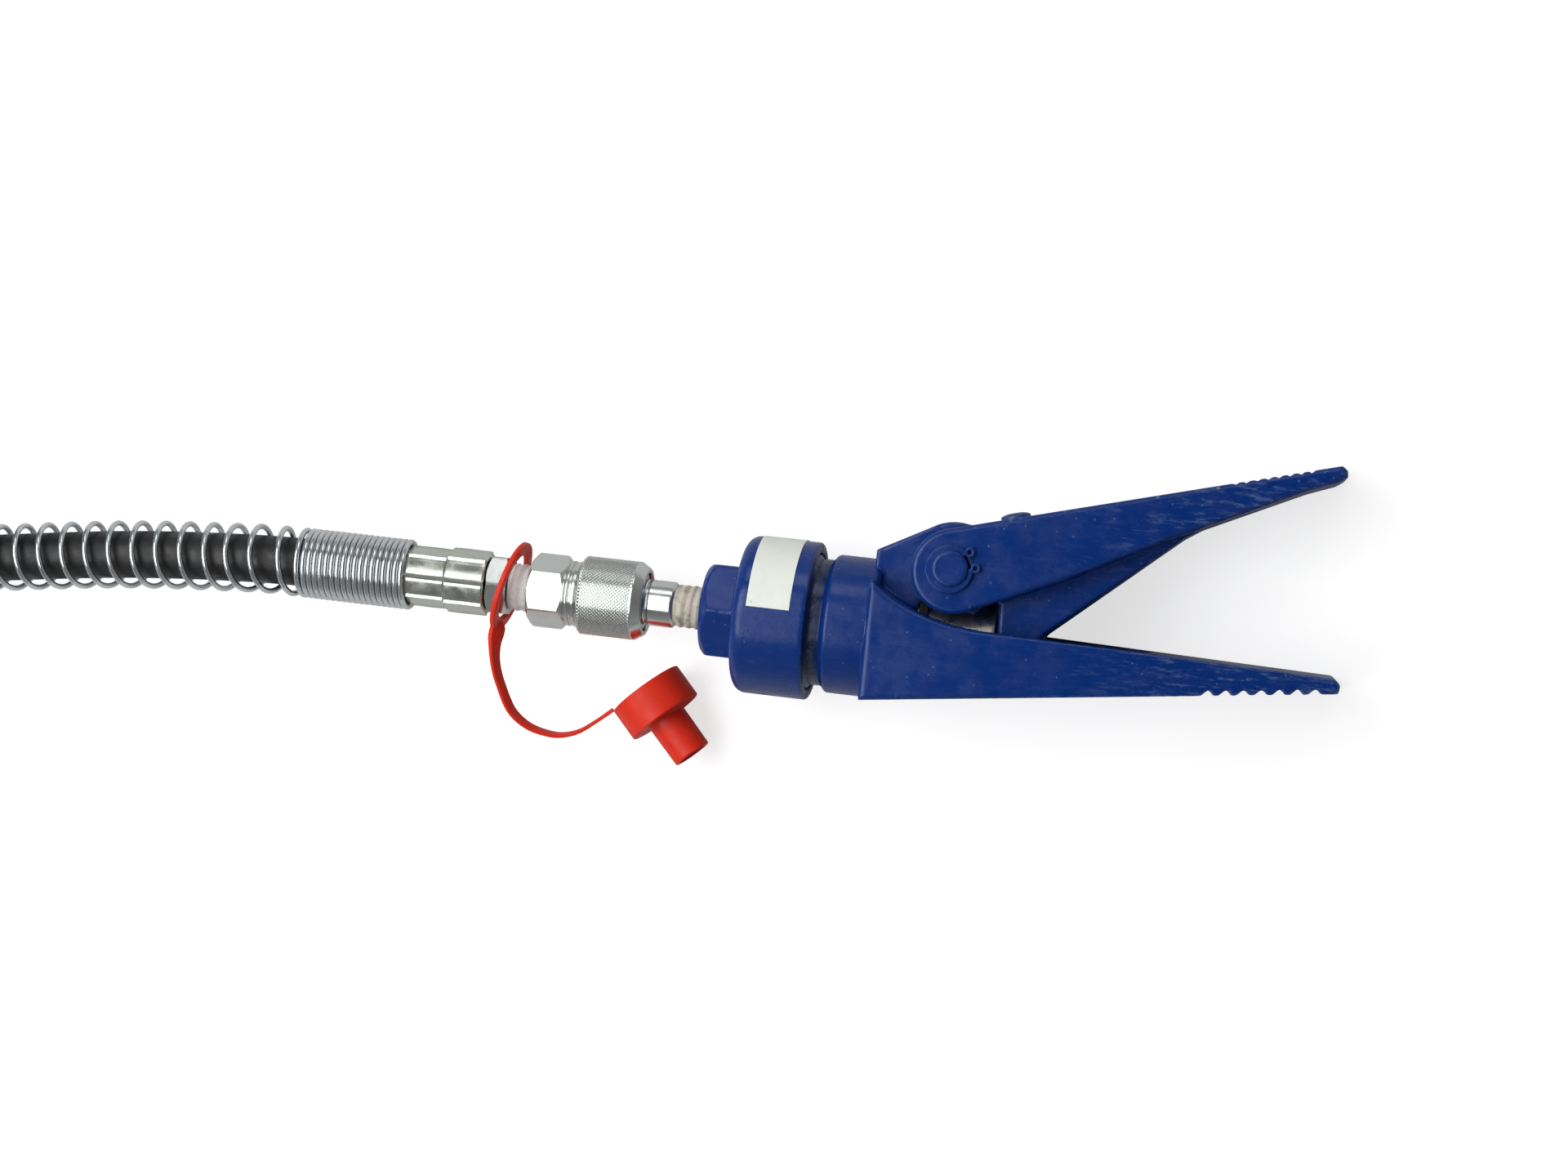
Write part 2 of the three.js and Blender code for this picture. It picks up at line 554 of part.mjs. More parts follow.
function coilRing(clearance) {
  const half = HOSE_R + 0.1 + clearance;
  const [bottom, top] = [COIL_BASE - clearance, COIL_TOP + clearance];
  const section = [
    [COIL_R - half, bottom], [COIL_R + half, bottom], [COIL_R + half, top], [COIL_R - half, top],
  ].map(([radius, z]) => new THREE.Vector2(radius, z));
  return solid(new THREE.LatheGeometry([...section, section[0]], 64)
    .rotateX(Math.PI / 2)
    .translate(COIL_CENTRE.x, COIL_CENTRE.y, 0));
}

// A cable tie round the coil, standing at an angle about the coil's centre.
function coilTie(degrees) {
  const half = HOSE_R + 0.1 + 0.4;
  const loop = outline([
    [-half - TIE_THICK, 0], [half + TIE_THICK, 0], [half + TIE_THICK, COIL_TOP + 0.4 + TIE_THICK],
    [-half - TIE_THICK, COIL_TOP + 0.4 + TIE_THICK],
  ]);
  loop.holes.push(outline([
    [-half, TIE_THICK], [-half, COIL_TOP + 0.4], [half, COIL_TOP + 0.4], [half, TIE_THICK],
  ]));
  const head = new THREE.BoxGeometry(3.6, 6.4, TIE_WIDTH + 2.4);
  head.translate(half + TIE_THICK + 1.4, COIL_TOP * 0.62, 0);
  return plate(loop, TIE_WIDTH / 2)
    .add(solid(head))
    .rotate([90, 0, 0])
    .translate([COIL_R, 0, 0])
    .rotate([0, 0, degrees])
    .translate([COIL_CENTRE.x, COIL_CENTRE.y, 0]);
}

// ---- dust cap -----------------------------------------------------------------------------------------
function dustCap() {
  return turned([
    [0, 0], [DUST_HEAD_LENGTH + DUST_STUB_LENGTH, 0],
    [DUST_HEAD_LENGTH + DUST_STUB_LENGTH, DUST_STUB_R - 0.6],
    [DUST_HEAD_LENGTH + DUST_STUB_LENGTH - 0.6, DUST_STUB_R], [DUST_HEAD_LENGTH, DUST_STUB_R],
    [DUST_HEAD_LENGTH, DUST_HEAD_R - 0.5], [DUST_HEAD_LENGTH - 0.5, DUST_HEAD_R],
    [0.5, DUST_HEAD_R], [0, DUST_HEAD_R - 0.5],
  ], ROUND)
    .rotate([0, 0, THREE.MathUtils.radToDeg(DUST_TURN)])
    .translate([DUST_FACE.x, DUST_FACE.y, DUST_HEAD_R]);
}

const STRAP_ROUTE = [
  [-112.4, -12.9, 33.5], [-113.3, -20.7, 32.5], [-112.8, -28.5, 30.3], [-110.6, -36.2, 27.3],
  [-106.7, -44.6, 23.8], [-101.3, -49.2, 20.8], [-95.1, -51.2, 18.6], [-89.8, -51.5, 17],
  [-83.7, -49.6, 15.7], [-78, -45.4, 14.6], [-72.2, -40.4, 14],
].map(at);

function dustStrap(toolMatrix) {
  const lean = new THREE.Quaternion().setFromUnitVectors(
    new THREE.Vector3(1, 0, 0),
    new THREE.Vector3(1, -Math.tan(THREE.MathUtils.degToRad(STRAP_RING_LEAN)), 0).normalize(),
  );
  const ring = place(
    sleeve(-STRAP_THICK / 2, STRAP_THICK / 2, STRAP_RING_BORE, STRAP_RING_R, ROUND),
    new THREE.Matrix4().multiplyMatrices(toolMatrix, new THREE.Matrix4().compose(
      new THREE.Vector3(STRAP_RING_X, 0, 0), lean, new THREE.Vector3(1, 1, 1),
    )),
  );
  const half = [STRAP_THICK / 2, STRAP_WIDTH / 2];
  const section = outline([
    [-half[0], -half[1]], [half[0], -half[1]], [half[0], half[1]], [-half[0], half[1]],
  ]);
  const strap = solid(new THREE.ExtrudeGeometry(section, {
    steps: 30,
    extrudePath: new THREE.CatmullRomCurve3(STRAP_ROUTE),
    bevelEnabled: false,
  }));
  return ring.add(strap);
}

// ---- assembly -----------------------------------------------------------------------------------------
const toolMatrix = new THREE.Matrix4().makeRotationY(TILT).setPosition(0, 0, CAP_R);
const tool = new THREE.Group();
tool.rotation.y = TILT;
tool.position.z = CAP_R;
addTo(tool, 'body_lower_jaw', lowerJaw(), blueEnamel);
addTo(tool, 'end_cap', endCap(), blueEnamel);
addTo(tool, 'cap_o_ring', sleeve(-13.5, BARREL_REAR - GAP, 19, 22, ROUND), sealRubber);
addTo(tool, 'label', label(), labelVinyl);
addTo(tool, 'plunger', plunger(), groundSteel);
addTo(tool, 'piston_seal', sleeve(10.8, 13.7, 13.5, PISTON_BORE_R - 0.12, ROUND), sealRubber);
addTo(tool, 'backup_ring', sleeve(14, 15.7, 13.5, PISTON_BORE_R - 0.12, ROUND), threadTape);
addTo(tool, 'rod_wiper', sleeve(37.3, 40.3, PLUNGER_R + 0.12, GUIDE_BORE_R + 1.3, ROUND), sealRubber);
addTo(tool, 'upper_jaw', upperJaw(), blueEnamel);
addTo(tool, 'pivot_pin', pivotPin(), blueEnamel);
addTo(tool, 'circlip_near', circlip(CIRCLIP_INNER + CIRCLIP_THICK / 2), blueEnamel);
addTo(tool, 'circlip_far', circlip(-CIRCLIP_INNER - CIRCLIP_THICK / 2), blueEnamel);
addTo(tool, 'spring_screw', springScrew(), blueEnamel);
addTo(tool, 'return_spring', returnSpring(), springSteel);
addTo(tool, 'spring_stud', springStud(), groundSteel);
addTo(tool, 'thread_tape_tool', sleeve(
  NIPPLE_FRONT + 1.2, -CAP_LENGTH - BOSS_LENGTH - GAP, 6.6, TAPE_TOOL_R,
), threadTape);
addTo(tool, 'coupler_nipple', nipple(), zincPlate);
addTo(tool, 'coupler_collar', collar(), zincPlate);
addTo(tool, 'collar_ring', sleeve(RING_GROOVE + 0.3, RING_GROOVE + 1.1, 11.1, 12.2), springSteel);
addTo(tool, 'coupler_hose_half', hoseHalf(), zincPlate);
addTo(tool, 'coupler_o_ring', sleeve(
  CHECK_SEAT + 1.9, CHECK_SEAT + 3.3, 6.1, 7.05,
), sealRubber);
addTo(tool, 'thread_tape_hose', sleeve(
  FITTING_FRONT + GAP, HALF_REAR - GAP, 6.8, TAPE_HOSE_R,
), threadTape);
addTo(tool, 'hose_fitting', hoseFitting(), zincPlate);
addTo(tool, 'hose_ferrule', ferrule(), zincPlate);
addTo(tool, 'guard_close_coils', guardSleeve(GUARD_CLOSE_REAR), springSteel);

const ground = new THREE.Group();
const ringSpace = coilRing(GAP);
addTo(ground, 'hose_run', alongCurve(runCurve, 16, HOSE_R).subtract(ringSpace), blackRubber);
const guardOpenStart = HOSE_START - GUARD_CLOSE_REAR + 1.3;
addTo(ground, 'guard_open_coils', alongCurve(
  stretch(runCurve, guardOpenStart, GUARD_OPEN_END), 12, GUARD_R, GUARD_R - GUARD_WIRE, 16,
), springSteel);
addTo(ground, 'hose_coil', coilRing(0), blackRubber);
addTo(ground, 'hose_tail', alongCurve(tailCurve, 8, HOSE_R).subtract(ringSpace), blackRubber);
addTo(ground, 'hose_tie_1', coilTie(62), tiePlastic);
addTo(ground, 'hose_tie_2', coilTie(230), tiePlastic);
addTo(ground, 'dust_cap', dustCap(), redPlastic);
addTo(ground, 'dust_cap_strap', dustStrap(toolMatrix), redPlastic);

// The hose's far end is the near end's fitting and ferrule again, on the tail's last direction.
const farEnd = new THREE.Group();
const tailDirection = tailCurve.getTangent(1);
farEnd.quaternion.setFromUnitVectors(new THREE.Vector3(1, 0, 0), tailDirection);
farEnd.position.copy(TAIL_ROUTE.at(-1)).addScaledVector(tailDirection, -HOSE_START + GAP);
addTo(farEnd, 'far_guard', guardSleeve(FAR_GUARD_REAR), springSteel);
addTo(farEnd, 'far_ferrule', ferrule(), zincPlate);
addTo(farEnd, 'far_fitting', hoseFitting(), zincPlate);
ground.add(farEnd);

// The origin is the bottom centre of the object's box, without the loose hose.
const LOOSE_HOSE = [
  'hose_run', 'guard_open_coils', 'hose_coil', 'hose_tail', 'hose_tie_1', 'hose_tie_2',
  'far_guard', 'far_ferrule', 'far_fitting',
];
const spreader = new THREE.Group();
spreader.add(tool, ground);
spreader.updateMatrixWorld(true);
const box = new THREE.Box3();
spreader.traverse((item) => {
  if (item.isMesh && !LOOSE_HOSE.includes(item.name)) box.expandByObject(item, true);
});
const middle = box.getCenter(new THREE.Vector3());
spreader.position.set(-middle.x, -middle.y, -box.min.z);

export default spreader;
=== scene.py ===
"""The looks of the rescue spreader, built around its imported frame."""
import json
import math

import bmesh
import bpy
import numpy as np
from mathutils import Matrix, Vector


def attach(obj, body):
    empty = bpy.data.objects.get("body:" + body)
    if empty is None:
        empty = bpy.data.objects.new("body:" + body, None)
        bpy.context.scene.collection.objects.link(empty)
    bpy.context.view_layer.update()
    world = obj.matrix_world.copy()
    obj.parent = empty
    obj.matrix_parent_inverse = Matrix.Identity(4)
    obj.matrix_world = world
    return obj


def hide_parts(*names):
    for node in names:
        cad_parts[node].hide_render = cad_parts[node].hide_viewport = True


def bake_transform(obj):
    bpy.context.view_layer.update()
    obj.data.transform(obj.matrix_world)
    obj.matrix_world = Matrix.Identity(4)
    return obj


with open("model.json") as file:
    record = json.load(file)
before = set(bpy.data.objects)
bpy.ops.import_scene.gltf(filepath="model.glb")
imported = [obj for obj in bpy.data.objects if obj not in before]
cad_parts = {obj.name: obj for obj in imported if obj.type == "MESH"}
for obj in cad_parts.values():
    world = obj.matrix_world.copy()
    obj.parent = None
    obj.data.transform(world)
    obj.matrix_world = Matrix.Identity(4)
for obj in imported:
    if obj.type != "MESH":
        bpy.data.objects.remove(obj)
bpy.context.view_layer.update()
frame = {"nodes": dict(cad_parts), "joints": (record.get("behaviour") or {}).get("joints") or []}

MM = 0.001
TURN = 2 * math.pi
HALF_FACE = math.pi / 6             # half of one side of a hexagon, as an angle

# ---- driving sizes ---------------------------------------------------------------------------
# In millimetres in the tool's own frame: X runs along the tool towards the jaws' tips and is 0 at
# the cap's front face. R is a radius, FLATS a size across flats, FRONT and REAR places on X.
CAP_R, CAP_LENGTH, CAP_BORE_R = 27.7, 26, 24
BARREL_R, BARREL_FRONT, BARREL_NECK_R, BARREL_NECK_FRONT = 24.26, 23.2, 22.15, 4.8
BOSS_FLATS, BOSS_REAR = 32, -39.1
FLOW_BORE_R, PORT_R = 2.5, 6.9
LABEL_REAR, LABEL_FRONT, LABEL_THICK = -20.5, -5.5, 0.24
NIPPLE_R, NIPPLE_FRONT, NIPPLE_REAR = 8.1, -50.5, -78
TAPE_TOOL_R, TAPE_HOSE_R, TAPE_BORE_R = 7.8, 8.6, 6.7
COLLAR_R, COLLAR_FRONT, COLLAR_REAR = 13.9, -60.2, -83.9
HALF_NECK_R, HALF_FLATS, HALF_FRONT, HALF_REAR = 11.5, 23, -88.6, -102
FITTING_FLATS, FITTING_FRONT, FITTING_THREAD_END = 19.8, -109.9, -95.4
THREAD_R, THREAD_DEPTH, THREAD_PITCH, THREAD_RISE, THREAD_TAPER = 6.15, 0.55, 1.41, 0.7, 0.03
FERRULE_FRONT, FERRULE_R, FERRULE_STEP, FERRULE_BORE_R = -117.8, 11.1, -132.1, 6
FERRULE_REAR, FERRULE_REAR_R = -153, 10.25
HOSE_R, HOSE_START = 8.65, -145
GUARD_R, GUARD_WIRE, GUARD_FRONT, GUARD_CLOSE_REAR = 12.6, 2.05, -145.6, -183.7
GUARD_OPEN_END, GUARD_CLOSE_PITCH, GUARD_OPEN_PITCH = 190, 2.12, 9.8
COIL_CENTRE, COIL_R, COIL_PITCH, COIL_TURNS = (-438, 64.8), 88, 17.7, 2.25
COIL_FLOOR = 10.25                  # height of the middle of the coil's lowest turn
DUST_HEAD_R, DUST_HEAD_LENGTH = 14, 12.7
DUST_STUB_R, DUST_STUB_LENGTH = 7.2, 16.5
DUST_FACE, DUST_TURN = (-61.2, -31.3), math.radians(-47)
RING_X, RING_R, RING_BORE_R, RING_SQUEEZE = -110, 16.6, 13, 0.92
RING_HALF_WIDTH, RING_LEAN = 0.95, math.radians(13.8)
PLUNGER_R, PLUNGER_FRONT, PISTON_R, PISTON_REAR = 14, 63.9, 16.2, 8
UPPER_SLOPE = 0.268                 # of the moving jaw's outer face
SCREW_SEAT, SCREW_LENGTH = (66, 39.18 + UPPER_SLOPE * (66 - 50.34)), 9
SPRING_FOOT, SPRING_R, SPRING_PITCH = (80, -3.4), 3.2, 1.32
COLLAR_JOINT_X = -72

# ---- the tool's frame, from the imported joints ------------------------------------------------
joints = {j["name"]: j for j in frame["joints"]}
along = Vector(joints["plunger_slide"]["axis"]).normalized()
upward = Vector(joints["jaw_pivot"]["axis"]).normalized()
tool_origin = Vector(joints["collar_turn"]["pos_m"]) - COLLAR_JOINT_X * MM * along
tool_axes = Matrix((along, upward.cross(along), upward)).transposed().to_4x4()
TOOL = Matrix.Translation(tool_origin) @ tool_axes @ Matrix.Scale(MM, 4)
# The point on the floor under the tool's origin, with X and Y as they are, in millimetres.
GROUND = Matrix.Translation((tool_origin.x, tool_origin.y, 0)) @ Matrix.Scale(MM, 4)

# ---- camera, floor and light -----------------------------------------------------------------
# The camera stands over the tool, a little towards the jaws; its place and axes are in the tool's
# frame.
CAMERA_LENS, CAMERA_SENSOR = 67.5, 36
CAMERA_PLACE = Vector((146.33, 28.24, 1018.88))
CAMERA_LOOK = Vector((-0.15381, -0.01731, -0.98795))
CAMERA_RIGHT = Vector((0.98175, 0.11047, -0.15478))
FLOOR_SIDE, FLOOR_GREY, FLOOR_GLOW = 24, 0.6, 0.68
# The room's greys from the horizon, at 0, to straight up, at 1.
ROOM_GREYS = ((0.0, 0.3), (0.35, 0.24), (0.8, 0.12), (1.0, 0.03))


def make_camera():
    data = bpy.data.cameras.new("camera")
    data.lens = CAMERA_LENS
    data.sensor_width = CAMERA_SENSOR
    camera = bpy.data.objects.new("camera", data)
    bpy.context.scene.collection.objects.link(camera)
    turn = TOOL.to_3x3().normalized()
    up = CAMERA_RIGHT.cross(CAMERA_LOOK)
    axes = Matrix((turn @ CAMERA_RIGHT, turn @ up, turn @ -CAMERA_LOOK)).transposed()
    camera.matrix_world = Matrix.Translation(TOOL @ CAMERA_PLACE) @ axes.to_4x4()
    bpy.context.scene.camera = camera


def area_light(name, place, target, size, radiance):
    """A rectangular soft light of even brightness, its sides given in metres."""
    data = bpy.data.lights.new(name, "AREA")
    data.shape = "RECTANGLE"
    data.size, data.size_y = size
    data.energy = radiance * math.pi * size[0] * size[1]
    lamp = bpy.data.objects.new(name, data)
    lamp.location = place
    aim = Vector(target) - Vector(place)
    lamp.rotation_euler = aim.to_track_quat("-Z", "Y").to_euler()
    bpy.context.scene.collection.objects.link(lamp)


def make_floor():
    """A plain floor that looks white, but gives the object only a grey floor's light."""
    bpy.ops.mesh.primitive_plane_add(size=FLOOR_SIDE, location=(0, 0, 0))
    floor = bpy.context.object
    floor.name = "floor"
    material = bpy.data.materials.new("floor_white")
    material.use_nodes = True
    tree = material.node_tree
    shader = tree.nodes["Principled BSDF"]
    shader.inputs["Base Color"].default_value = (FLOOR_GREY, FLOOR_GREY, FLOOR_GREY, 1)
    shader.inputs["Roughness"].default_value = 0.9
    shader.inputs["Emission Color"].default_value = (1, 1, 1, 1)
    rays = tree.nodes.new("ShaderNodeLightPath")
    glow = tree.nodes.new("ShaderNodeMath")
    glow.operation = "MULTIPLY"
    glow.inputs[1].default_value = FLOOR_GLOW
    tree.links.new(rays.outputs["Is Camera Ray"], glow.inputs[0])
    tree.links.new(glow.outputs["Value"], shader.inputs["Emission Strength"])
    floor.data.materials.append(material)


def make_room():
    """A room that is dark overhead, with a big soft box beyond the hose."""
    world = bpy.data.worlds.new("studio")
    world.use_nodes = True
    tree = world.node_tree
    way = tree.nodes.new("ShaderNodeTexCoord").outputs["Generated"]
    split = tree.nodes.new("ShaderNodeSeparateXYZ")
    shade = tree.nodes.new("ShaderNodeValToRGB")
    tree.links.new(way, split.inputs["Vector"])
    tree.links.new(split.outputs["Z"], shade.inputs["Fac"])
    tree.links.new(shade.outputs["Color"], tree.nodes["Background"].inputs["Color"])
    stops = shade.color_ramp.elements
    for place, _ in ROOM_GREYS[1:-1]:
        stops.new(place)
    for stop, (place, grey) in zip(stops, ROOM_GREYS):
        stop.position, stop.color = place, (grey, grey, grey, 1)
    bpy.context.scene.world = world
    area_light("soft_box", (-0.74, 0.04, 0.98), (-0.74, 0.04, 0), (1.14, 1.35), 3.3)
    area_light("far_side_light", (0.1, 1.25, 0.75), (0, 0, 0), (1.2, 0.5), 1.5)
    view = bpy.context.scene.view_settings
    view.view_transform = "Standard"
    view.look = "None"


# ---- mesh tools ------------------------------------------------------------------------------
MERGE, SLIVER = 1e-7, 1e-8          # metres
HEXAGON_CORNER_CUT = 0.12
SPAN_STEPS = 24                     # points from one given point of a smooth curve to the next


def finish_piece(name, vertices, faces, body, slot, material, replaces=(), matrix=TOOL, sharp=35):
    """A mesh in the scene, smooth apart from its sharp edges, riding on a body."""
    mesh = bpy.data.meshes.new(name)
    mesh.from_pydata([matrix @ Vector(v) for v in vertices], [], faces)
    tidy = bmesh.new()
    tidy.from_mesh(mesh)
    bmesh.ops.remove_doubles(tidy, verts=tidy.verts, dist=MERGE)
    bmesh.ops.dissolve_degenerate(tidy, edges=tidy.edges, dist=SLIVER)
    bmesh.ops.recalc_face_normals(tidy, faces=tidy.faces)
    tidy.to_mesh(mesh)
    tidy.free()
    mesh.validate()
    mesh.polygons.foreach_set("use_smooth", [True] * len(mesh.polygons))
    mesh.set_sharp_from_angle(angle=math.radians(sharp))
    mesh.materials.append(material)
    piece = bpy.data.objects.new(name, mesh)
    bpy.context.scene.collection.objects.link(piece)
    weighted = piece.modifiers.new("face_weighted_normals", "WEIGHTED_NORMAL")
    weighted.keep_sharp = True
    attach(piece, body)
    if replaces:
        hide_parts(*replaces)
    return piece


def rounded(outline, radius, steps=4, closed=True):
    """An outline with its corners rounded, each point (a, b) or (a, b, own radius)."""
    points = [np.array(p[:2], float) for p in outline]
    radii = [p[2] if len(p) > 2 else radius for p in outline]
    result = []
    count = len(points)
    for i, corner in enumerate(points):
        if not closed and i in (0, count - 1):
            result.append(corner)
            continue
        before, after = points[i - 1] - corner, points[(i + 1) % count] - corner
        reach = min(radii[i], 0.45 * np.linalg.norm(before), 0.45 * np.linalg.norm(after))
        if reach < 1e-4:
            result.append(corner)
            continue
        start = corner + before / np.linalg.norm(before) * reach
        end = corner + after / np.linalg.norm(after) * reach
        for k in range(steps + 1):
            t = k / steps
            result.append((1 - t) ** 2 * start + 2 * t * (1 - t) * corner + t * t * end)
    return [tuple(p) for p in result]


def grid_faces(rows, columns, close_rows, close_columns):
    """Quads of a grid of points, row by row."""
    faces = []
    for i in range(rows if close_rows else rows - 1):
        for j in range(columns if close_columns else columns - 1):
            a, b = i * columns, (i + 1) % rows * columns
            k = (j + 1) % columns
            faces.append((a + j, a + k, b + k, b + j))
    return faces


def turned(outline, sides=96, shape=None):
    """A closed outline of (x, radius) turned about X; shape may change a radius by angle."""
    vertices = []
    for x, radius in outline:
        for k in range(sides):
            angle = TURN * k / sides
            r = shape(x, radius, angle) if shape and radius > 0 else radius
            vertices.append((x, r * math.cos(angle), r * math.sin(angle)))
    return vertices, grid_faces(len(outline), sides, True, True)


def joined(*parts):
    """Several (vertices, faces) as one."""
    vertices, faces = [], []
    for points, quads in parts:
        start = len(vertices)
        vertices += list(points)
        faces += [tuple(start + i for i in face) for face in quads]
    return vertices, faces


def hexagon(x0, x1, flats, corner_up, face_r, bore=0.0, chamfer=0.62, sides=96):
    """A hexagon bar along X with a turned chamfer at each end, and a bore."""
    corner = flats / 2 / math.cos(HALF_FACE)
    flat_at = 0 if corner_up else HALF_FACE
    angles = [TURN * k / sides for k in range(sides)]

    def hexagon_r(angle):
        local = (angle - flat_at + HALF_FACE) % (2 * HALF_FACE) - HALF_FACE
        return min(flats / 2 / math.cos(local), corner - HEXAGON_CORNER_CUT)

    def end_rings(end, way):
        radii = [hexagon_r(a) for a in angles]
        return [
            [(end, bore)] * sides,
            [(end, min(face_r, r)) for r in radii],
            [(end + way * max(0.0, r - face_r) * chamfer, r) for r in radii],
        ]

    rings = end_rings(x0, 1) + end_rings(x1, -1)[::-1]
    vertices = [(x, r * math.cos(a), r * math.sin(a))
                for ring in rings for (x, r), a in zip(ring, angles)]
    return vertices, grid_faces(len(rings), sides, True, True)


def frames_along(path, up=(0, 0, 1)):
    """Tangents and two normals at each point of a path, carried along without twist."""
    path = np.asarray(path, float)
    tangents = np.gradient(path, axis=0)
    tangents /= np.linalg.norm(tangents, axis=1, keepdims=True)
    normal = np.cross(np.cross(tangents[0], up), tangents[0])
    normals = []
    for tangent in tangents:
        normal = normal - tangent * (normal @ tangent)
        normal = normal / np.linalg.norm(normal)
        normals.append(normal)
    normals = np.array(normals)
    return tangents, normals, np.cross(tangents, normals)


def swept(path, section, frames=None, sizes=None):
    """A closed section of (a, b) points carried along a path, with rounded-off flat ends."""
    path = np.asarray(path, float)
    section = np.asarray(section, float)
    _, normals, sides = frames or frames_along(path)
    sizes = np.ones(len(path)) if sizes is None else sizes
    rings = [p + s * (section[:, :1] * n + section[:, 1:] * b)
             for p, n, b, s in zip(path, normals, sides, sizes)]
    count = len(section)
    vertices = [tuple(v) for ring in rings for v in ring]
    faces = grid_faces(len(rings), count, False, True)
    faces.append(tuple(range(count)))
    faces.append(tuple(reversed(range(len(vertices) - count, len(vertices)))))
    return vertices, faces


def circle(radius, sides):
    angles = [TURN * k / sides for k in range(sides)]
    return [(radius * math.cos(angle), radius * math.sin(angle)) for angle in angles]


def smooth_curve(points, spacing):
    """Evenly spaced points on the centripetal Catmull-Rom curve through the points."""
    p = np.asarray(points, float)
    p = np.vstack([2 * p[0] - p[1], p, 2 * p[-1] - p[-2]])
    dense = []
    for i in range(1, len(p) - 2):
        knots = [0.0]
        for a, b in zip(p[i - 1:i + 2], p[i:i + 3]):
            knots.append(knots[-1] + math.sqrt(np.linalg.norm(b - a)))
        t0, t1, t2, t3 = knots
        for t in np.linspace(t1, t2, SPAN_STEPS, endpoint=False):
            a1 = (t1 - t) / (t1 - t0) * p[i - 1] + (t - t0) / (t1 - t0) * p[i]
            a2 = (t2 - t) / (t2 - t1) * p[i] + (t - t1) / (t2 - t1) * p[i + 1]
            a3 = (t3 - t) / (t3 - t2) * p[i + 1] + (t - t2) / (t3 - t2) * p[i + 2]
            b1 = (t2 - t) / (t2 - t0) * a1 + (t - t0) / (t2 - t0) * a2
            b2 = (t3 - t) / (t3 - t1) * a2 + (t - t1) / (t3 - t1) * a3
            dense.append((t2 - t) / (t2 - t1) * b1 + (t - t1) / (t2 - t1) * b2)
    dense.append(p[-2])
    return evenly(np.array(dense), spacing)


def distances(points):
    return np.concatenate([[0], np.cumsum(np.linalg.norm(np.diff(points, axis=0), axis=1))])


def evenly(points, spacing):
    """The same line with its points a set distance apart."""
    at = distances(points)
    steps = np.linspace(0, at[-1], max(2, round(at[-1] / spacing) + 1))
    return np.stack([np.interp(steps, at, points[:, k]) for k in range(3)], axis=1)


def ramp(x, start, end):
    """0 before start, 1 after end, and a smooth rise between them."""
    t = np.clip((x - start) / (end - start), 0, 1)
    return t * t * (3 - 2 * t)


# ---- materials -------------------------------------------------------------------------------
# Colours are linear RGB. Places on the tool are millimetres in its frame.
ENAMEL, ENAMEL_PALE = (0.0016, 0.031, 0.205), (0.0022, 0.038, 0.228)
# The second colour on the next line is painted shade: a near-black blue for the shadow in the gap
# behind the cap's rim.
ENAMEL_DEEP, ENAMEL_GROOVE_SHADE = (0.0010, 0.022, 0.160), (0.0010, 0.009, 0.062)
ENAMEL_SPECK, ENAMEL_DUST = (0.10, 0.19, 0.42), (0.09, 0.17, 0.40)
ENAMEL_SCUFF, ENAMEL_CHIP, BARE_METAL = (0.15, 0.23, 0.43), (0.13, 0.20, 0.37), (0.22, 0.23, 0.22)
# The painted shade in the gap behind the cap runs between these two places on the tool's X, in
# millimetres.
GROOVE_REAR, GROOVE_FRONT = -0.2, 5.0
TIP_WEAR_START, TIP_WEAR_FULL = 0.08, 0.15      # on the frame's X, in metres
PLATE_DIRT = (0.28, 0.27, 0.25)
RUBBER, RUBBER_WORN = (0.0075, 0.0078, 0.009), (0.022, 0.022, 0.024)
RUBBER_DUST = (0.06, 0.058, 0.055)
RED, RED_DEEP, RED_SCRATCH = (0.80, 0.030, 0.008), (0.62, 0.020, 0.006), (0.85, 0.15, 0.08)
VINYL, VINYL_DULL, VINYL_FLECK = (0.93, 0.97, 0.90), (0.82, 0.86, 0.80), (0.25, 0.30, 0.42)
VINYL_SMEAR = (0.42, 0.45, 0.5)
SEAL, SEAL_WORN = (0.012, 0.012, 0.013), (0.03, 0.029, 0.028)
NYLON, NYLON_WORN = (0.014, 0.014, 0.015), (0.035, 0.035, 0.036)


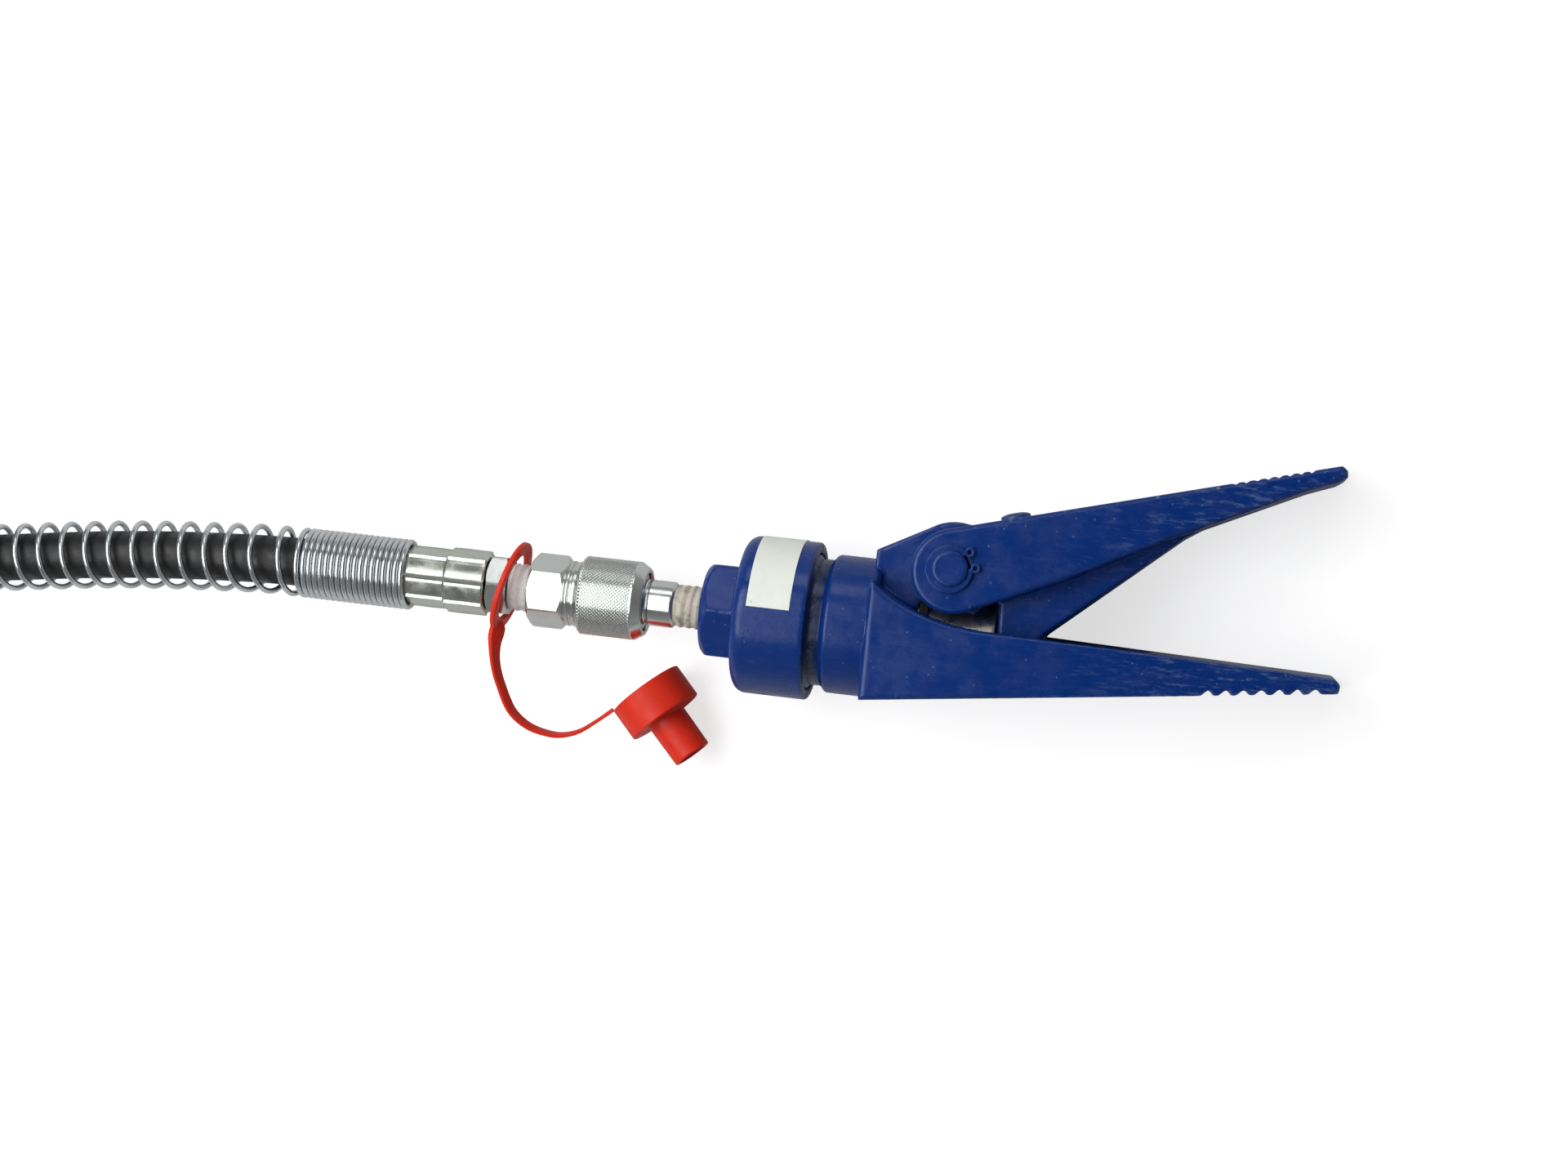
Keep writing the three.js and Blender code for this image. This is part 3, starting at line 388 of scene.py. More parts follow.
class Surface:
    """A Principled material and short names for the nodes that give it its detail."""

    def __init__(self, name, colour, roughness, **constants):
        self.material = bpy.data.materials.new(name)
        self.material.use_nodes = True
        self.tree = self.material.node_tree
        self.shader = self.tree.nodes["Principled BSDF"]
        self.shader.inputs["Base Color"].default_value = (*colour, 1)
        self.shader.inputs["Roughness"].default_value = roughness
        for socket, value in constants.items():
            self.shader.inputs[socket.replace("_", " ")].default_value = value
        self.place = self.node("ShaderNodeTexCoord").outputs["Object"]
        self.height = None

    def node(self, kind, settings=(), **inputs):
        made = self.tree.nodes.new(kind)
        for key, value in dict(settings).items():
            setattr(made, key, value)
        for key, value in inputs.items():
            self.put(made.inputs[key.replace("_", " ")], value)
        return made

    def put(self, socket, value):
        """A link or a number into a socket."""
        if isinstance(value, bpy.types.NodeSocket):
            self.tree.links.new(value, socket)
        else:
            socket.default_value = value

    def stretched(self, x, y, z):
        return self.node("ShaderNodeMapping", Vector=self.place, Scale=(x, y, z)).outputs["Vector"]

    def noise(self, per_mm, detail=3.0, rough=0.5, place=None):
        made = self.node("ShaderNodeTexNoise", Vector=place or self.place, Scale=per_mm / MM,
                         Detail=detail, Roughness=rough)
        return made.outputs["Fac"]

    def between(self, value, start, end, low=0.0, high=1.0):
        """value mapped from start..end to low..high, and held at both."""
        made = self.node("ShaderNodeMapRange", {"interpolation_type": "SMOOTHSTEP"}, Value=value)
        for index, number in ((1, start), (2, end), (3, low), (4, high)):
            made.inputs[index].default_value = number
        return made.outputs["Result"]

    def patches(self, per_mm, start, end, high=1.0, low=0.0, detail=3.0, rough=0.5, place=None):
        """Noise mapped from start..end to low..high: cloudy patches, or fine marks."""
        return self.between(self.noise(per_mm, detail, rough, place), start, end, low, high)

    def spots(self, per_mm, size):
        """1 in small round spots, 0 elsewhere."""
        made = self.node("ShaderNodeTexVoronoi", Vector=self.place, Scale=per_mm / MM)
        return self.between(made.outputs["Distance"], size, size * 0.4)

    def edges(self, start, end):
        """1 on outward edges, 0 on flats."""
        return self.between(self.node("ShaderNodeNewGeometry").outputs["Pointiness"], start, end)

    def times(self, a, b):
        made = self.node("ShaderNodeMath", {"operation": "MULTIPLY"})
        self.put(made.inputs[0], a)
        self.put(made.inputs[1], b)
        return made.outputs["Value"]

    def tint(self, factor, colour):
        """The base colour so far, mixed towards a colour."""
        base = self.shader.inputs["Base Color"]
        made = self.node("ShaderNodeMix", {"data_type": "RGBA"})
        self.put(made.inputs[0], factor)
        if base.is_linked:
            self.tree.links.new(base.links[0].from_socket, made.inputs[6])
        else:
            made.inputs[6].default_value = base.default_value
        made.inputs[7].default_value = (*colour, 1)
        self.tree.links.new(made.outputs[2], base)

    def roughness(self, per_mm, low, high, detail=4, rough=0.5, start=0.3, end=0.7):
        """Roughness that wanders from low to high."""
        value = self.patches(per_mm, start, end, high, low, detail, rough)
        self.tree.links.new(value, self.shader.inputs["Roughness"])

    def bump(self, height, depth_mm):
        """Raises the surface by depth_mm where height is 1."""
        made = self.node("ShaderNodeBump", Strength=1.0, Distance=depth_mm * MM, Height=height)
        if self.height is not None:
            self.tree.links.new(self.height, made.inputs["Normal"])
        self.height = made.outputs["Normal"]
        self.tree.links.new(self.height, self.shader.inputs["Normal"])


def blue_enamel(name, wear):
    """Deep blue enamel on a rough casting, with dust in it, scuffed tips, worn edges and a painted
    shade in the gap behind the cap.
    """
    s = Surface(name, ENAMEL, 0.25, Specular_IOR_Level=0.38)
    s.tint(s.patches(0.06, 0.35, 0.75, 0.35, detail=4, rough=0.6), ENAMEL_PALE)
    s.tint(s.patches(0.025, 0.4, 0.8, 0.35), ENAMEL_DEEP)
    patchy = s.patches(0.05, 0.42, 0.62, low=0.15)
    specks = s.times(s.patches(1.1, 0.66, 0.74, rough=0.75), patchy)
    s.tint(s.times(specks, 0.5), ENAMEL_SPECK)
    dust = s.spots(0.22, 0.11)
    s.tint(s.times(dust, 0.5), ENAMEL_DUST)
    split = s.node("ShaderNodeSeparateXYZ", Vector=s.place)
    towards_tip = s.between(split.outputs["X"], TIP_WEAR_START, TIP_WEAR_FULL, 0.12)
    scrapes = s.patches(0.55, 0.5, 0.68, detail=5, rough=0.8, place=s.stretched(0.2, 1, 1))
    scuffed = s.times(s.times(scrapes, towards_tip), 0.75 * wear)
    s.tint(scuffed, ENAMEL_SCUFF)
    # Painted shade: the gap between the cap and the barrel is darkened in the colour, standing in
    # for the shadow that the cap's rim casts into it.
    tool_place = s.node("ShaderNodeVectorMath", {"operation": "DOT_PRODUCT"}, Vector=s.place)
    tool_place.inputs[1].default_value = along
    tool_x = tool_place.outputs["Value"]
    rear, front = (tool_origin.dot(along) + x * MM for x in (GROOVE_REAR, GROOVE_FRONT))
    groove_shadow = s.times(s.between(tool_x, rear, rear + 0.3 * MM),
                        s.between(tool_x, front, front - 0.6 * MM))
    s.tint(s.times(groove_shadow, 0.85), ENAMEL_GROOVE_SHADE)
    chipped = s.times(s.edges(0.515, 0.56), s.patches(0.3, 0.42, 0.58, detail=4, rough=0.7))
    s.tint(s.times(chipped, 0.55 * wear), ENAMEL_CHIP)
    bare = s.times(s.times(s.edges(0.53, 0.57), towards_tip),
                   s.patches(0.16, 0.45, 0.58, detail=4, rough=0.7))
    s.tint(s.times(bare, wear), BARE_METAL)
    s.roughness(0.1, 0.17, 0.36, rough=0.65, end=0.75)
    s.bump(s.noise(0.11), 0.1)
    s.bump(s.noise(0.9, 2), 0.03)
    s.bump(specks, 0.06)
    s.bump(dust, 0.14)
    s.bump(scuffed, -0.05)
    return s.material


def plated(name, colour, low, high, turned_lines=0.012, stain=0.2, stain_colour=PLATE_DIRT):
    """Bright plated steel with fine turning lines, dull patches and a little dirt."""
    s = Surface(name, colour, low, Metallic=1.0)
    dulled = tuple(c * 0.78 for c in colour)
    s.tint(s.patches(0.12, 0.45, 0.8, 0.3, detail=4, rough=0.6), dulled)
    s.tint(s.patches(0.7, 0.6, 0.8, stain, detail=5, rough=0.75), stain_colour)
    lines = s.noise(1.0, 2, 0.5, s.stretched(6, 0.02, 0.02))
    s.roughness(0.2, low, high, rough=0.65, end=0.75)
    s.bump(lines, turned_lines)
    s.bump(s.noise(2.5, 2), 0.004)
    return s.material


def black_rubber():
    s = Surface("hose_cover", RUBBER, 0.5)
    s.tint(s.patches(0.08, 0.45, 0.75, 0.6, detail=4, rough=0.6), RUBBER_WORN)
    s.tint(s.patches(0.9, 0.62, 0.8, 0.5, rough=0.7), RUBBER_DUST)
    s.roughness(0.2, 0.38, 0.62, start=0.35)
    s.bump(s.noise(0.7, 3, 0.6, s.stretched(0.35, 1, 1)), 0.09)
    s.bump(s.noise(3.5, 2), 0.02)
    return s.material


def red_plastic():
    s = Surface("cap_plastic", RED, 0.45, Specular_IOR_Level=0.3, Subsurface_Weight=0.08,
                Subsurface_Scale=0.002)
    s.shader.inputs["Subsurface Radius"].default_value = (1.0, 0.25, 0.1)
    s.tint(s.patches(0.07, 0.45, 0.7, 0.4, detail=4, rough=0.6), RED_DEEP)
    s.tint(s.patches(0.8, 0.66, 0.82, 0.35, rough=0.7), RED_SCRATCH)
    s.roughness(0.3, 0.36, 0.55)
    s.bump(s.noise(1.6, 3, 0.6), 0.035)
    return s.material


def thread_tape(name, colour, dirt, dirt_colour):
    s = Surface(name, colour, 0.62, Sheen_Weight=0.15)
    s.tint(s.patches(0.45, 0.5, 0.72, dirt, detail=5, rough=0.75), dirt_colour)
    s.tint(s.patches(0.2, 0.55, 0.7, dirt * 0.7, rough=0.6), tuple(c * 0.35 for c in dirt_colour))
    s.bump(s.noise(0.8, 4, 0.7, s.stretched(1.6, 0.5, 0.5)), 0.16)
    s.bump(s.noise(3, 3, 0.7), 0.05)
    return s.material


def label_vinyl():
    s = Surface("label_film", VINYL, 0.38, Coat_Weight=0.15, Coat_Roughness=0.3)
    s.tint(s.patches(0.12, 0.45, 0.75, 0.35, detail=4, rough=0.65), VINYL_DULL)
    s.tint(s.spots(0.25, 0.09), VINYL_FLECK)
    s.tint(s.patches(1.1, 0.68, 0.8, 0.45, detail=4, rough=0.75), VINYL_SMEAR)
    s.roughness(0.3, 0.3, 0.5, detail=3)
    s.bump(s.noise(0.4), 0.03)
    return s.material


def dull_rubber():
    s = Surface("seal_rubber", SEAL, 0.55)
    s.tint(s.patches(0.3, 0.5, 0.75, 0.6, detail=4), SEAL_WORN)
    s.bump(s.noise(1.2), 0.03)
    return s.material


def black_nylon():
    s = Surface("tie_nylon", NYLON, 0.4)
    s.tint(s.patches(0.5, 0.5, 0.75, 0.6, detail=4), NYLON_WORN)
    ribs = s.node("ShaderNodeTexWave", Vector=s.place, Scale=0.25 / MM, Distortion=0.0)
    s.roughness(0.5, 0.32, 0.5, detail=3)
    s.bump(ribs.outputs["Fac"], 0.05)
    return s.material


# ---- the hose and its guard ------------------------------------------------------------------
# Both routes are in millimetres on the floor. The run goes from the ferrule, round which the hose
# is held up, down to the floor; the tail comes down from the coil's last turn.
RUN_ROUTE = [
    (-145.2, 0, 32.25), (-155, 0, 32.5), (-170, 0, 32.6), (-185, 0, 32.1), (-200, -0.4, 31),
    (-215, -1.2, 29.5), (-230, -2.25, 27.6), (-245, -3.5, 25.5), (-260, -5, 23.4),
    (-275, -6.8, 21.3), (-290, -8.8, 19.3), (-305, -10.9, 17.5), (-320, -13, 16),
    (-335, -15.1, 14.8), (-350, -17.1, 13.7), (-365, -18.9, 12.7), (-380, -20.4, 11.8),
    (-395, -21.6, 11.1), (-410, -22.5, 10.6), (-424, -23.05, 10.35), (-438, -23.2, 10.25),
]
TAIL_ROUTE = [
    (-526, 64.8, 45.65), (-526, 76, 45.4), (-526, 86, 44.5), (-526, 96, 43.1), (-526.1, 106, 41.1),
    (-526.3, 116, 38.5), (-526.6, 128, 35), (-526.9, 140, 31.6), (-527.2, 152, 28.1),
    (-527.5, 164, 24.7), (-527.8, 177, 21),
]
ROUTE_STEP, HOSE_STEP = 3, 3.5
COIL_STEPS = 140                    # points to a turn
CLIMB_START, CLIMB_END = 0.7, 0.9   # the share of a turn in which the coil climbs a layer
FERRULE_TO_HOSE = 0.3               # from the hose's last point to where its fitting has its start
GUARD_INSET = 1.1                   # from a guard's front to the middle of its first coil
GUARD_FIRST_ANGLE = math.radians(200)
GUARD_STEPS = 48                    # points to a coil
GUARD_JOIN = 34                     # length over which the guard takes up the hose's line
FAR_GUARD_LENGTH, FAR_GUARD_OPENING = 45, 5


def coil_turns():
    """The stored turns, each climbing to the next layer on the last part of its way round."""
    turns = np.linspace(0, COIL_TURNS, int(COIL_TURNS * COIL_STEPS))
    angle = -math.pi / 2 - TURN * turns
    layer = np.floor(turns) + ramp(turns % 1, CLIMB_START, CLIMB_END)
    return np.stack([
        COIL_CENTRE[0] + COIL_R * np.cos(angle),
        COIL_CENTRE[1] + COIL_R * np.sin(angle),
        COIL_FLOOR + COIL_PITCH * layer,
    ], axis=1)


run_path = smooth_curve(RUN_ROUTE, ROUTE_STEP)
tail_path = smooth_curve(TAIL_ROUTE, ROUTE_STEP)
hose_path = evenly(np.vstack([run_path[:-1], coil_turns(), tail_path[1:]]), HOSE_STEP)
tail_way = Vector(tail_path[-1] - tail_path[-3]).normalized()
# The tool's frame moved so that the near fitting's place falls on the hose's far end.
far_place = Vector(tail_path[-1]) + tail_way * (FERRULE_TO_HOSE - HOSE_START)
far_turn = Vector((1, 0, 0)).rotation_difference(tail_way).to_matrix().to_4x4()
FAR = GROUND @ Matrix.Translation(far_place) @ far_turn


def make_hose(material):
    """The hose from ferrule to ferrule, whose ends sink into the ferrules' mouths."""
    tube = swept(hose_path, circle(HOSE_R, 40))
    return finish_piece("hose", *tube, "frame", "hose_rubber", material,
                        ["hose_run", "hose_coil", "hose_tail"], GROUND)


def wire_helix(path, radius, pitch_at, start_angle, steps_per_turn):
    """A right-handed helix round a path; pitch_at gives the pitch at a distance along it."""
    at = distances(path)
    _, normals, sides = frames_along(path)
    length, angle, points = 0.0, start_angle, []
    while length <= at[-1]:
        k = [np.interp(length, at, column) for column in np.hstack([path, normals, sides]).T]
        centre, n, b = np.array(k[:3]), np.array(k[3:6]), np.array(k[6:])
        points.append(centre + radius * (math.cos(angle) * n + math.sin(angle) * b))
        angle += TURN / steps_per_turn
        length += pitch_at(length) / steps_per_turn
    return np.array(points)


def guard_wire(points):
    """The guard's wire along its helix, its ends dressed down a little."""
    sizes = np.ones(len(points))
    sizes[[0, -1]] = 0.75
    return swept(points, circle(GUARD_WIRE / 2, 12), sizes=sizes)


def guard_axis(length):
    """The line of a guard that lies straight on its ferrule, in the tool's frame."""
    return np.array([(GUARD_FRONT - GUARD_INSET - k, 0, 0) for k in np.arange(0, length, 0.25)])


def make_guards(material):
    """The near guard, close coils and then open ones, and the one at the hose's far end."""
    middle = GUARD_R - GUARD_WIRE / 2
    close = wire_helix(guard_axis(GUARD_FRONT - GUARD_CLOSE_REAR - 1.5), middle,
                       lambda s: GUARD_CLOSE_PITCH, GUARD_FIRST_ANGLE, GUARD_STEPS)
    finish_piece("guard_spring_close", *guard_wire(close), "frame", "spring_steel", material,
                 ["guard_close_coils"])

    at = distances(hose_path)
    opening = HOSE_START - GUARD_CLOSE_REAR
    span = np.arange(opening - 0.5, GUARD_OPEN_END - 1, 0.5)
    along_hose = np.stack([np.interp(span, at, hose_path[:, k]) for k in range(3)], axis=1)
    ground_from_tool = GROUND.inverted() @ TOOL
    on_axis = np.array([ground_from_tool @ Vector((HOSE_START - s, 0, 0)) for s in span])
    blend = ramp(span, opening, opening + GUARD_JOIN)[:, None]
    line = on_axis * (1 - blend) + along_hose * blend
    # The open coils start at the angle where the close ones stop.
    last = ground_from_tool @ Vector(close[-1])
    offset = np.array(last) - on_axis[0]
    _, normals, sides = frames_along(line)
    start = math.atan2(offset @ sides[0], offset @ normals[0])
    widening = GUARD_OPEN_PITCH - GUARD_CLOSE_PITCH
    loose = wire_helix(line, middle, lambda s: GUARD_CLOSE_PITCH + widening * ramp(s, 1, 9),
                       start, GUARD_STEPS)
    open_coils = finish_piece("guard_spring_open", *guard_wire(loose), "frame", "spring_steel",
                              material, ["guard_open_coils"], GROUND)

    end_coils = wire_helix(
        guard_axis(FAR_GUARD_LENGTH), middle,
        lambda s: GUARD_CLOSE_PITCH + FAR_GUARD_OPENING * ramp(s, 30, 42), GUARD_FIRST_ANGLE, 40)
    finish_piece("far_guard_spring", *guard_wire(end_coils), "frame", "spring_steel", material,
                 ["far_guard"], FAR)
    return open_coils


# ---- the hose's fittings ---------------------------------------------------------------------
LANDS = 8                           # flats that the crimping dies leave
LINE_HEIGHT, LINE_WIDTH = 0.36, 0.045
FURROW_DEPTH, FURROW_PLACE, FURROW_WIDTH = 0.14, 0.11, 0.05


def ferrule_shape(x, radius, angle):
    """Crimped lands, with a raised line between each two and a furrow on both sides of it."""
    if radius < HOSE_R + 1:
        return radius
    land = (angle / TURN * LANDS) % 1
    from_line = min(land, 1 - land)
    flat = math.cos(math.pi / LANDS) / math.cos((land - 0.5) * TURN / LANDS)
    line = LINE_HEIGHT * math.exp(-(from_line / LINE_WIDTH) ** 2)
    furrow = FURROW_DEPTH * math.exp(-((from_line - FURROW_PLACE) / FURROW_WIDTH) ** 2)
    crimped = radius * (0.35 + 0.65 * flat) * 1.012 + (line - furrow)
    swell = 0.12 * math.sin((x - FERRULE_REAR) * 0.55 + 2 * math.sin(angle))
    return crimped + 0.35 * swell


def make_ferrule(name, matrix, material, replaces):
    mouth_r = HOSE_R + 0.25
    outline = rounded([
        (FERRULE_FRONT, FERRULE_BORE_R, 0), (FERRULE_FRONT, FERRULE_R), (FERRULE_STEP, FERRULE_R),
        (FERRULE_STEP - 0.5, FERRULE_REAR_R), (FERRULE_REAR, FERRULE_REAR_R),
        (FERRULE_REAR, mouth_r, 0.2), (HOSE_START, mouth_r, 0), (HOSE_START, FERRULE_BORE_R, 0),
    ], 0.7, 5)
    dense = []
    for (x0, r0), (x1, r1) in zip(outline, outline[1:] + outline[:1]):
        cuts = max(1, round(math.hypot(x1 - x0, r1 - r0) / 0.8))
        dense += [(x0 + (x1 - x0) * k / cuts, r0 + (r1 - r0) * k / cuts) for k in range(cuts)]
    return finish_piece(name, *turned(dense, 192, ferrule_shape), "frame", "ferrule_zinc",
                        material, replaces, matrix)


def make_fitting(name, matrix, material, replaces):
    """The hexagon behind the ferrule and its tapered male thread."""
    bar = hexagon(FERRULE_FRONT + 0.3, FITTING_FRONT, FITTING_FLATS, True, 9.4, FLOW_BORE_R)
    thread = []
    x = FITTING_FRONT - 0.5
    while x < FITTING_THREAD_END - 1.5:
        crest = THREAD_R - THREAD_TAPER * (x - FITTING_FRONT)
        thread += [(x, crest - THREAD_DEPTH), (x + THREAD_RISE, crest)]
        x += THREAD_PITCH
    outline = [
        (FITTING_FRONT - 1, FLOW_BORE_R), (FITTING_FRONT - 1, 5.4), *thread,
        (FITTING_THREAD_END - 0.6, 5.2), (FITTING_THREAD_END, 4.8),
        (FITTING_THREAD_END, FLOW_BORE_R),
    ]
    return finish_piece(name, *joined(bar, turned(outline, 64)), "frame", "zinc_plate", material,
                        replaces, matrix, 25)


def tape_shape(seed):
    """Wrapped tape: sloping wraps with torn, bunched edges."""
    def shape(x, radius, angle):
        if radius < TAPE_BORE_R + 0.5:
            return radius
        wrap = math.sin(x * 2.2 + angle + seed)
        fray = math.sin(5 * angle + 3.1 * x + seed) * math.sin(2.3 * x - 3 * angle)
        fine = math.sin(17 * angle + 6 * x + 2 * math.sin(4 * x)) * math.sin(9 * x + seed)
        return radius - 0.38 + 0.2 * wrap + 0.08 * fray + 0.042 * fine
    return shape


def make_tape(name, x0, x1, radius, seed, slot, material, replaces):
    steps = 40
    outer = [(x0 + (x1 - x0) * k / steps, radius - 0.5 * abs(2 * k / steps - 1) ** 6)
             for k in range(steps + 1)]
    outline = [(x0, TAPE_BORE_R), *outer, (x1, TAPE_BORE_R)]
    return finish_piece(name, *turned(outline, 144, tape_shape(seed)), "frame", slot, material,
                        replaces, sharp=60)


# ---- the coupler -----------------------------------------------------------------------------
GROOVE_DEPTH = 0.45                 # of the nipple's ring groove in front of the collar
KNURL_STARTS, KNURL_DEPTH, KNURL_WIDTH, KNURL_FADE = 68, 0.42, 0.42, 0.8
KNURL_REAR, KNURL_FRONT = COLLAR_REAR + 1.0, COLLAR_FRONT - 3.6
COLLAR_MOUTH_R, COLLAR_BORE_R = 11.8, 10.3


def make_nipple(material):
    """The coupler's half on the tool, from inside the cap's boss to inside the collar."""
    groove_r = NIPPLE_R - GROOVE_DEPTH
    outline = rounded([
        (NIPPLE_REAR, FLOW_BORE_R, 0), (-27, FLOW_BORE_R, 0), (-27, 6, 0.3),
        (NIPPLE_FRONT + 0.9, 6.2, 0), (NIPPLE_FRONT + 0.9, NIPPLE_R - 0.9, 0.3),
        (NIPPLE_FRONT, NIPPLE_R, 0.5), (COLLAR_FRONT + 1.6, NIPPLE_R, 0.1),
        (COLLAR_FRONT + 1.2, groove_r, 0.1), (COLLAR_FRONT + 0.3, groove_r, 0.1),
        (COLLAR_FRONT - 0.1, NIPPLE_R, 0.1), (COLLAR_FRONT - 1, NIPPLE_R, 0),
        (COLLAR_FRONT - 1, 9.8, 0.2), (-72, 9.8, 0.2), (-72, 6.8, 0.2), (NIPPLE_REAR, 6.6, 0.3),
    ], 0.4)
    finish_piece("coupler_male_half", *turned(outline), "frame", "zinc_plate", material,
                 ["coupler_nipple"])


def knurl(x, radius, angle):
    """A diamond knurl: two sets of slanting grooves that fade out at both ends."""
    if radius < COLLAR_R - 0.4 or not KNURL_REAR <= x <= KNURL_FRONT:
        return radius
    across = angle * KNURL_STARTS / TURN
    shift = (x - KNURL_REAR) / (TURN * COLLAR_R / KNURL_STARTS)
    left = abs((across + shift) % 1 - 0.5) * 2
    right = abs((across - shift) % 1 - 0.5) * 2
    fade = min(1.0, (x - KNURL_REAR) / KNURL_FADE, (KNURL_FRONT - x) / KNURL_FADE)
    groove = max(0.0, 1 - min(left, right) / KNURL_WIDTH)
    return radius - KNURL_DEPTH * groove * fade


def make_collar(material):
    """The screw collar: the knurl between a plain cone and a rounded rear edge."""
    thread_rear = COLLAR_REAR + 3.2
    length = KNURL_FRONT - KNURL_REAR
    rows = int(length / 0.16)
    body = [(KNURL_REAR + length * k / rows, COLLAR_R) for k in range(rows + 1)]
    front = rounded([
        (KNURL_FRONT + 0.05, COLLAR_R), (COLLAR_FRONT - 3.3, COLLAR_R, 0.4),
        (COLLAR_FRONT, 11.8, 0.5), (COLLAR_FRONT, COLLAR_BORE_R, 0.3),
        (thread_rear, COLLAR_BORE_R, 0),
    ], 0.5, 5, closed=False)
    rear = rounded([
        (thread_rear, COLLAR_MOUTH_R, 0), (COLLAR_REAR, COLLAR_MOUTH_R, 0.2),
        (COLLAR_REAR, 12.8, 0.3), (COLLAR_REAR + 0.9, COLLAR_R, 0.4),
        (KNURL_REAR - 0.02, COLLAR_R, 0),
    ], 0.4, 4, closed=False)
    finish_piece("coupler_knurled_collar", *turned([*rear[:-1], *body, *front], 544, knurl),
                 "collar", "zinc_plate", material, ["coupler_collar"], sharp=50)


def make_hose_half(material):
    """The coupler's half on the hose: ringed neck and hexagon."""
    step_r, socket_r, valve_r = 9.8, 7.3, 3.2
    outline = rounded([
        (HALF_FRONT - 1.5, valve_r, 0), (HALF_FRONT - 1.5, HALF_NECK_R - 0.6, 0),
        (HALF_FRONT + 0.2, HALF_NECK_R - 0.6), (HALF_FRONT + 0.7, HALF_NECK_R + 0.1),
        (-87.1, HALF_NECK_R + 0.1), (-86.8, 10.7), (-86.1, 10.7), (-85.8, HALF_NECK_R),
        (-84.6, HALF_NECK_R), (-84.2, 10.9), (-80, 10.9), (-80, step_r, 0.2), (-73, step_r, 0.3),
        (-73, socket_r, 0.2), (-79, socket_r, 0), (-79, valve_r, 0),
    ], 0.22, 3)
    bar = hexagon(HALF_REAR, HALF_FRONT, HALF_FLATS, False, 11.0, PORT_R, 0.75)
    finish_piece("coupler_female_half", *joined(turned(outline), bar), "frame", "zinc_plate",
                 material, ["coupler_hose_half"], sharp=25)


# ---- painted pieces --------------------------------------------------------------------------
def skin(piece, voxel_mm, smoothing):
    """Gives a piece the soft edges of a painted forging, with modifiers only."""
    remesh = piece.modifiers.new("forged_skin", "REMESH")
    remesh.mode = "VOXEL"
    remesh.voxel_size = voxel_mm * MM
    remesh.use_smooth_shade = True
    soften = piece.modifiers.new("soft_edges", "SMOOTH")
    soften.factor = 0.5
    soften.iterations = smoothing


def paint_node(node, material, voxel_mm=None, smoothing=3):
    """A CAD node, which has its slot already, with its finish, and a soft skin where asked for."""
    piece = frame["nodes"][node]
    piece.data.materials.clear()
    piece.data.materials.append(material)
    if voxel_mm:
        skin(piece, voxel_mm, smoothing)
    return piece


def make_end_cap(material):
    rear = -CAP_LENGTH
    outline = rounded([
        (rear, FLOW_BORE_R, 0), (rear, 24.6), (rear + 1.2, 26.6), (rear + 3.2, CAP_R),
        (0, CAP_R, 0.9), (0, CAP_BORE_R, 0.6), (-13.9, CAP_BORE_R), (-13.9, FLOW_BORE_R, 0),
    ], 0.8)
    boss = hexagon(BOSS_REAR, rear + 3, BOSS_FLATS, True, 14.6, PORT_R, 0.9)
    cap = finish_piece("end_cap_painted", *joined(turned(outline, 160), boss), "frame",
                       "blue_enamel", material, ["end_cap"])
    cap.modifiers.clear()           # the skin brings its own normals
    skin(cap, 0.5, 4)


def make_barrel(material):
    """The barrel's round surface, over the block's coarser one."""
    inner_r = 20
    outline = rounded([
        (-1.5, inner_r, 0), (-1.5, BARREL_NECK_R, 0), (BARREL_NECK_FRONT, BARREL_NECK_R, 0.4),
        (6.5, BARREL_R, 0.9), (21.8, BARREL_R, 0.9), (BARREL_FRONT, 22.9),
        (BARREL_FRONT, inner_r, 0),
    ], 0.6)
    finish_piece("barrel_painted", *turned(outline, 160), "frame", "blue_enamel", material)


def make_label(material):
    """A plain sticker round the cap, one edge of which lifts a little."""
    # The angles run from the upward line over the far side.
    first, last = math.radians(7), math.radians(105)
    rows, columns = 30, 60
    vertices = []
    for layer in (0.06, 0.06 + LABEL_THICK):
        for i in range(rows + 1):
            for j in range(columns + 1):
                u, v = i / rows, j / columns
                lift = 0.12 * max(0.0, (v - 0.9) / 0.1) ** 2
                r = CAP_R + layer + lift + 0.03 * math.sin(9 * u) * math.sin(14 * v)
                angle = first + (last - first) * v
                x = LABEL_REAR + (LABEL_FRONT - LABEL_REAR) * u
                vertices.append((x, r * math.sin(angle), r * math.cos(angle)))
    wide = columns + 1
    count = (rows + 1) * wide
    inside = grid_faces(rows + 1, wide, False, False)
    outside = [tuple(count + i for i in reversed(face)) for face in inside]
    rim = [*range(wide), *[(i + 1) * wide - 1 for i in range(1, rows + 1)],
           *[rows * wide + j for j in range(columns - 1, -1, -1)],
           *[i * wide for i in range(rows - 1, 0, -1)]]
    sides = [(a, b, count + b, count + a) for a, b in zip(rim, rim[1:] + rim[:1])]
    finish_piece("label_sticker", vertices, [*inside, *outside, *sides], "frame", "label_vinyl",
                 material, ["label"])


def make_plunger(material):
    """The ram with its piston and the piston's seal groove."""
    groove_r = 13.3
    outline = rounded([
        (PISTON_REAR, 0, 0), (PLUNGER_FRONT, 0, 0), (PLUNGER_FRONT, PLUNGER_R), (20, PLUNGER_R, 0),
        (20, PISTON_R, 0.3), (16, PISTON_R, 0.3), (16, groove_r, 0), (10.5, groove_r, 0),
        (10.5, PISTON_R, 0.3), (PISTON_REAR, PISTON_R, 0.6),
    ], 0.9)
    finish_piece("plunger_ground", *turned(outline, 128), "plunger", "ground_steel", material,
                 ["plunger"])


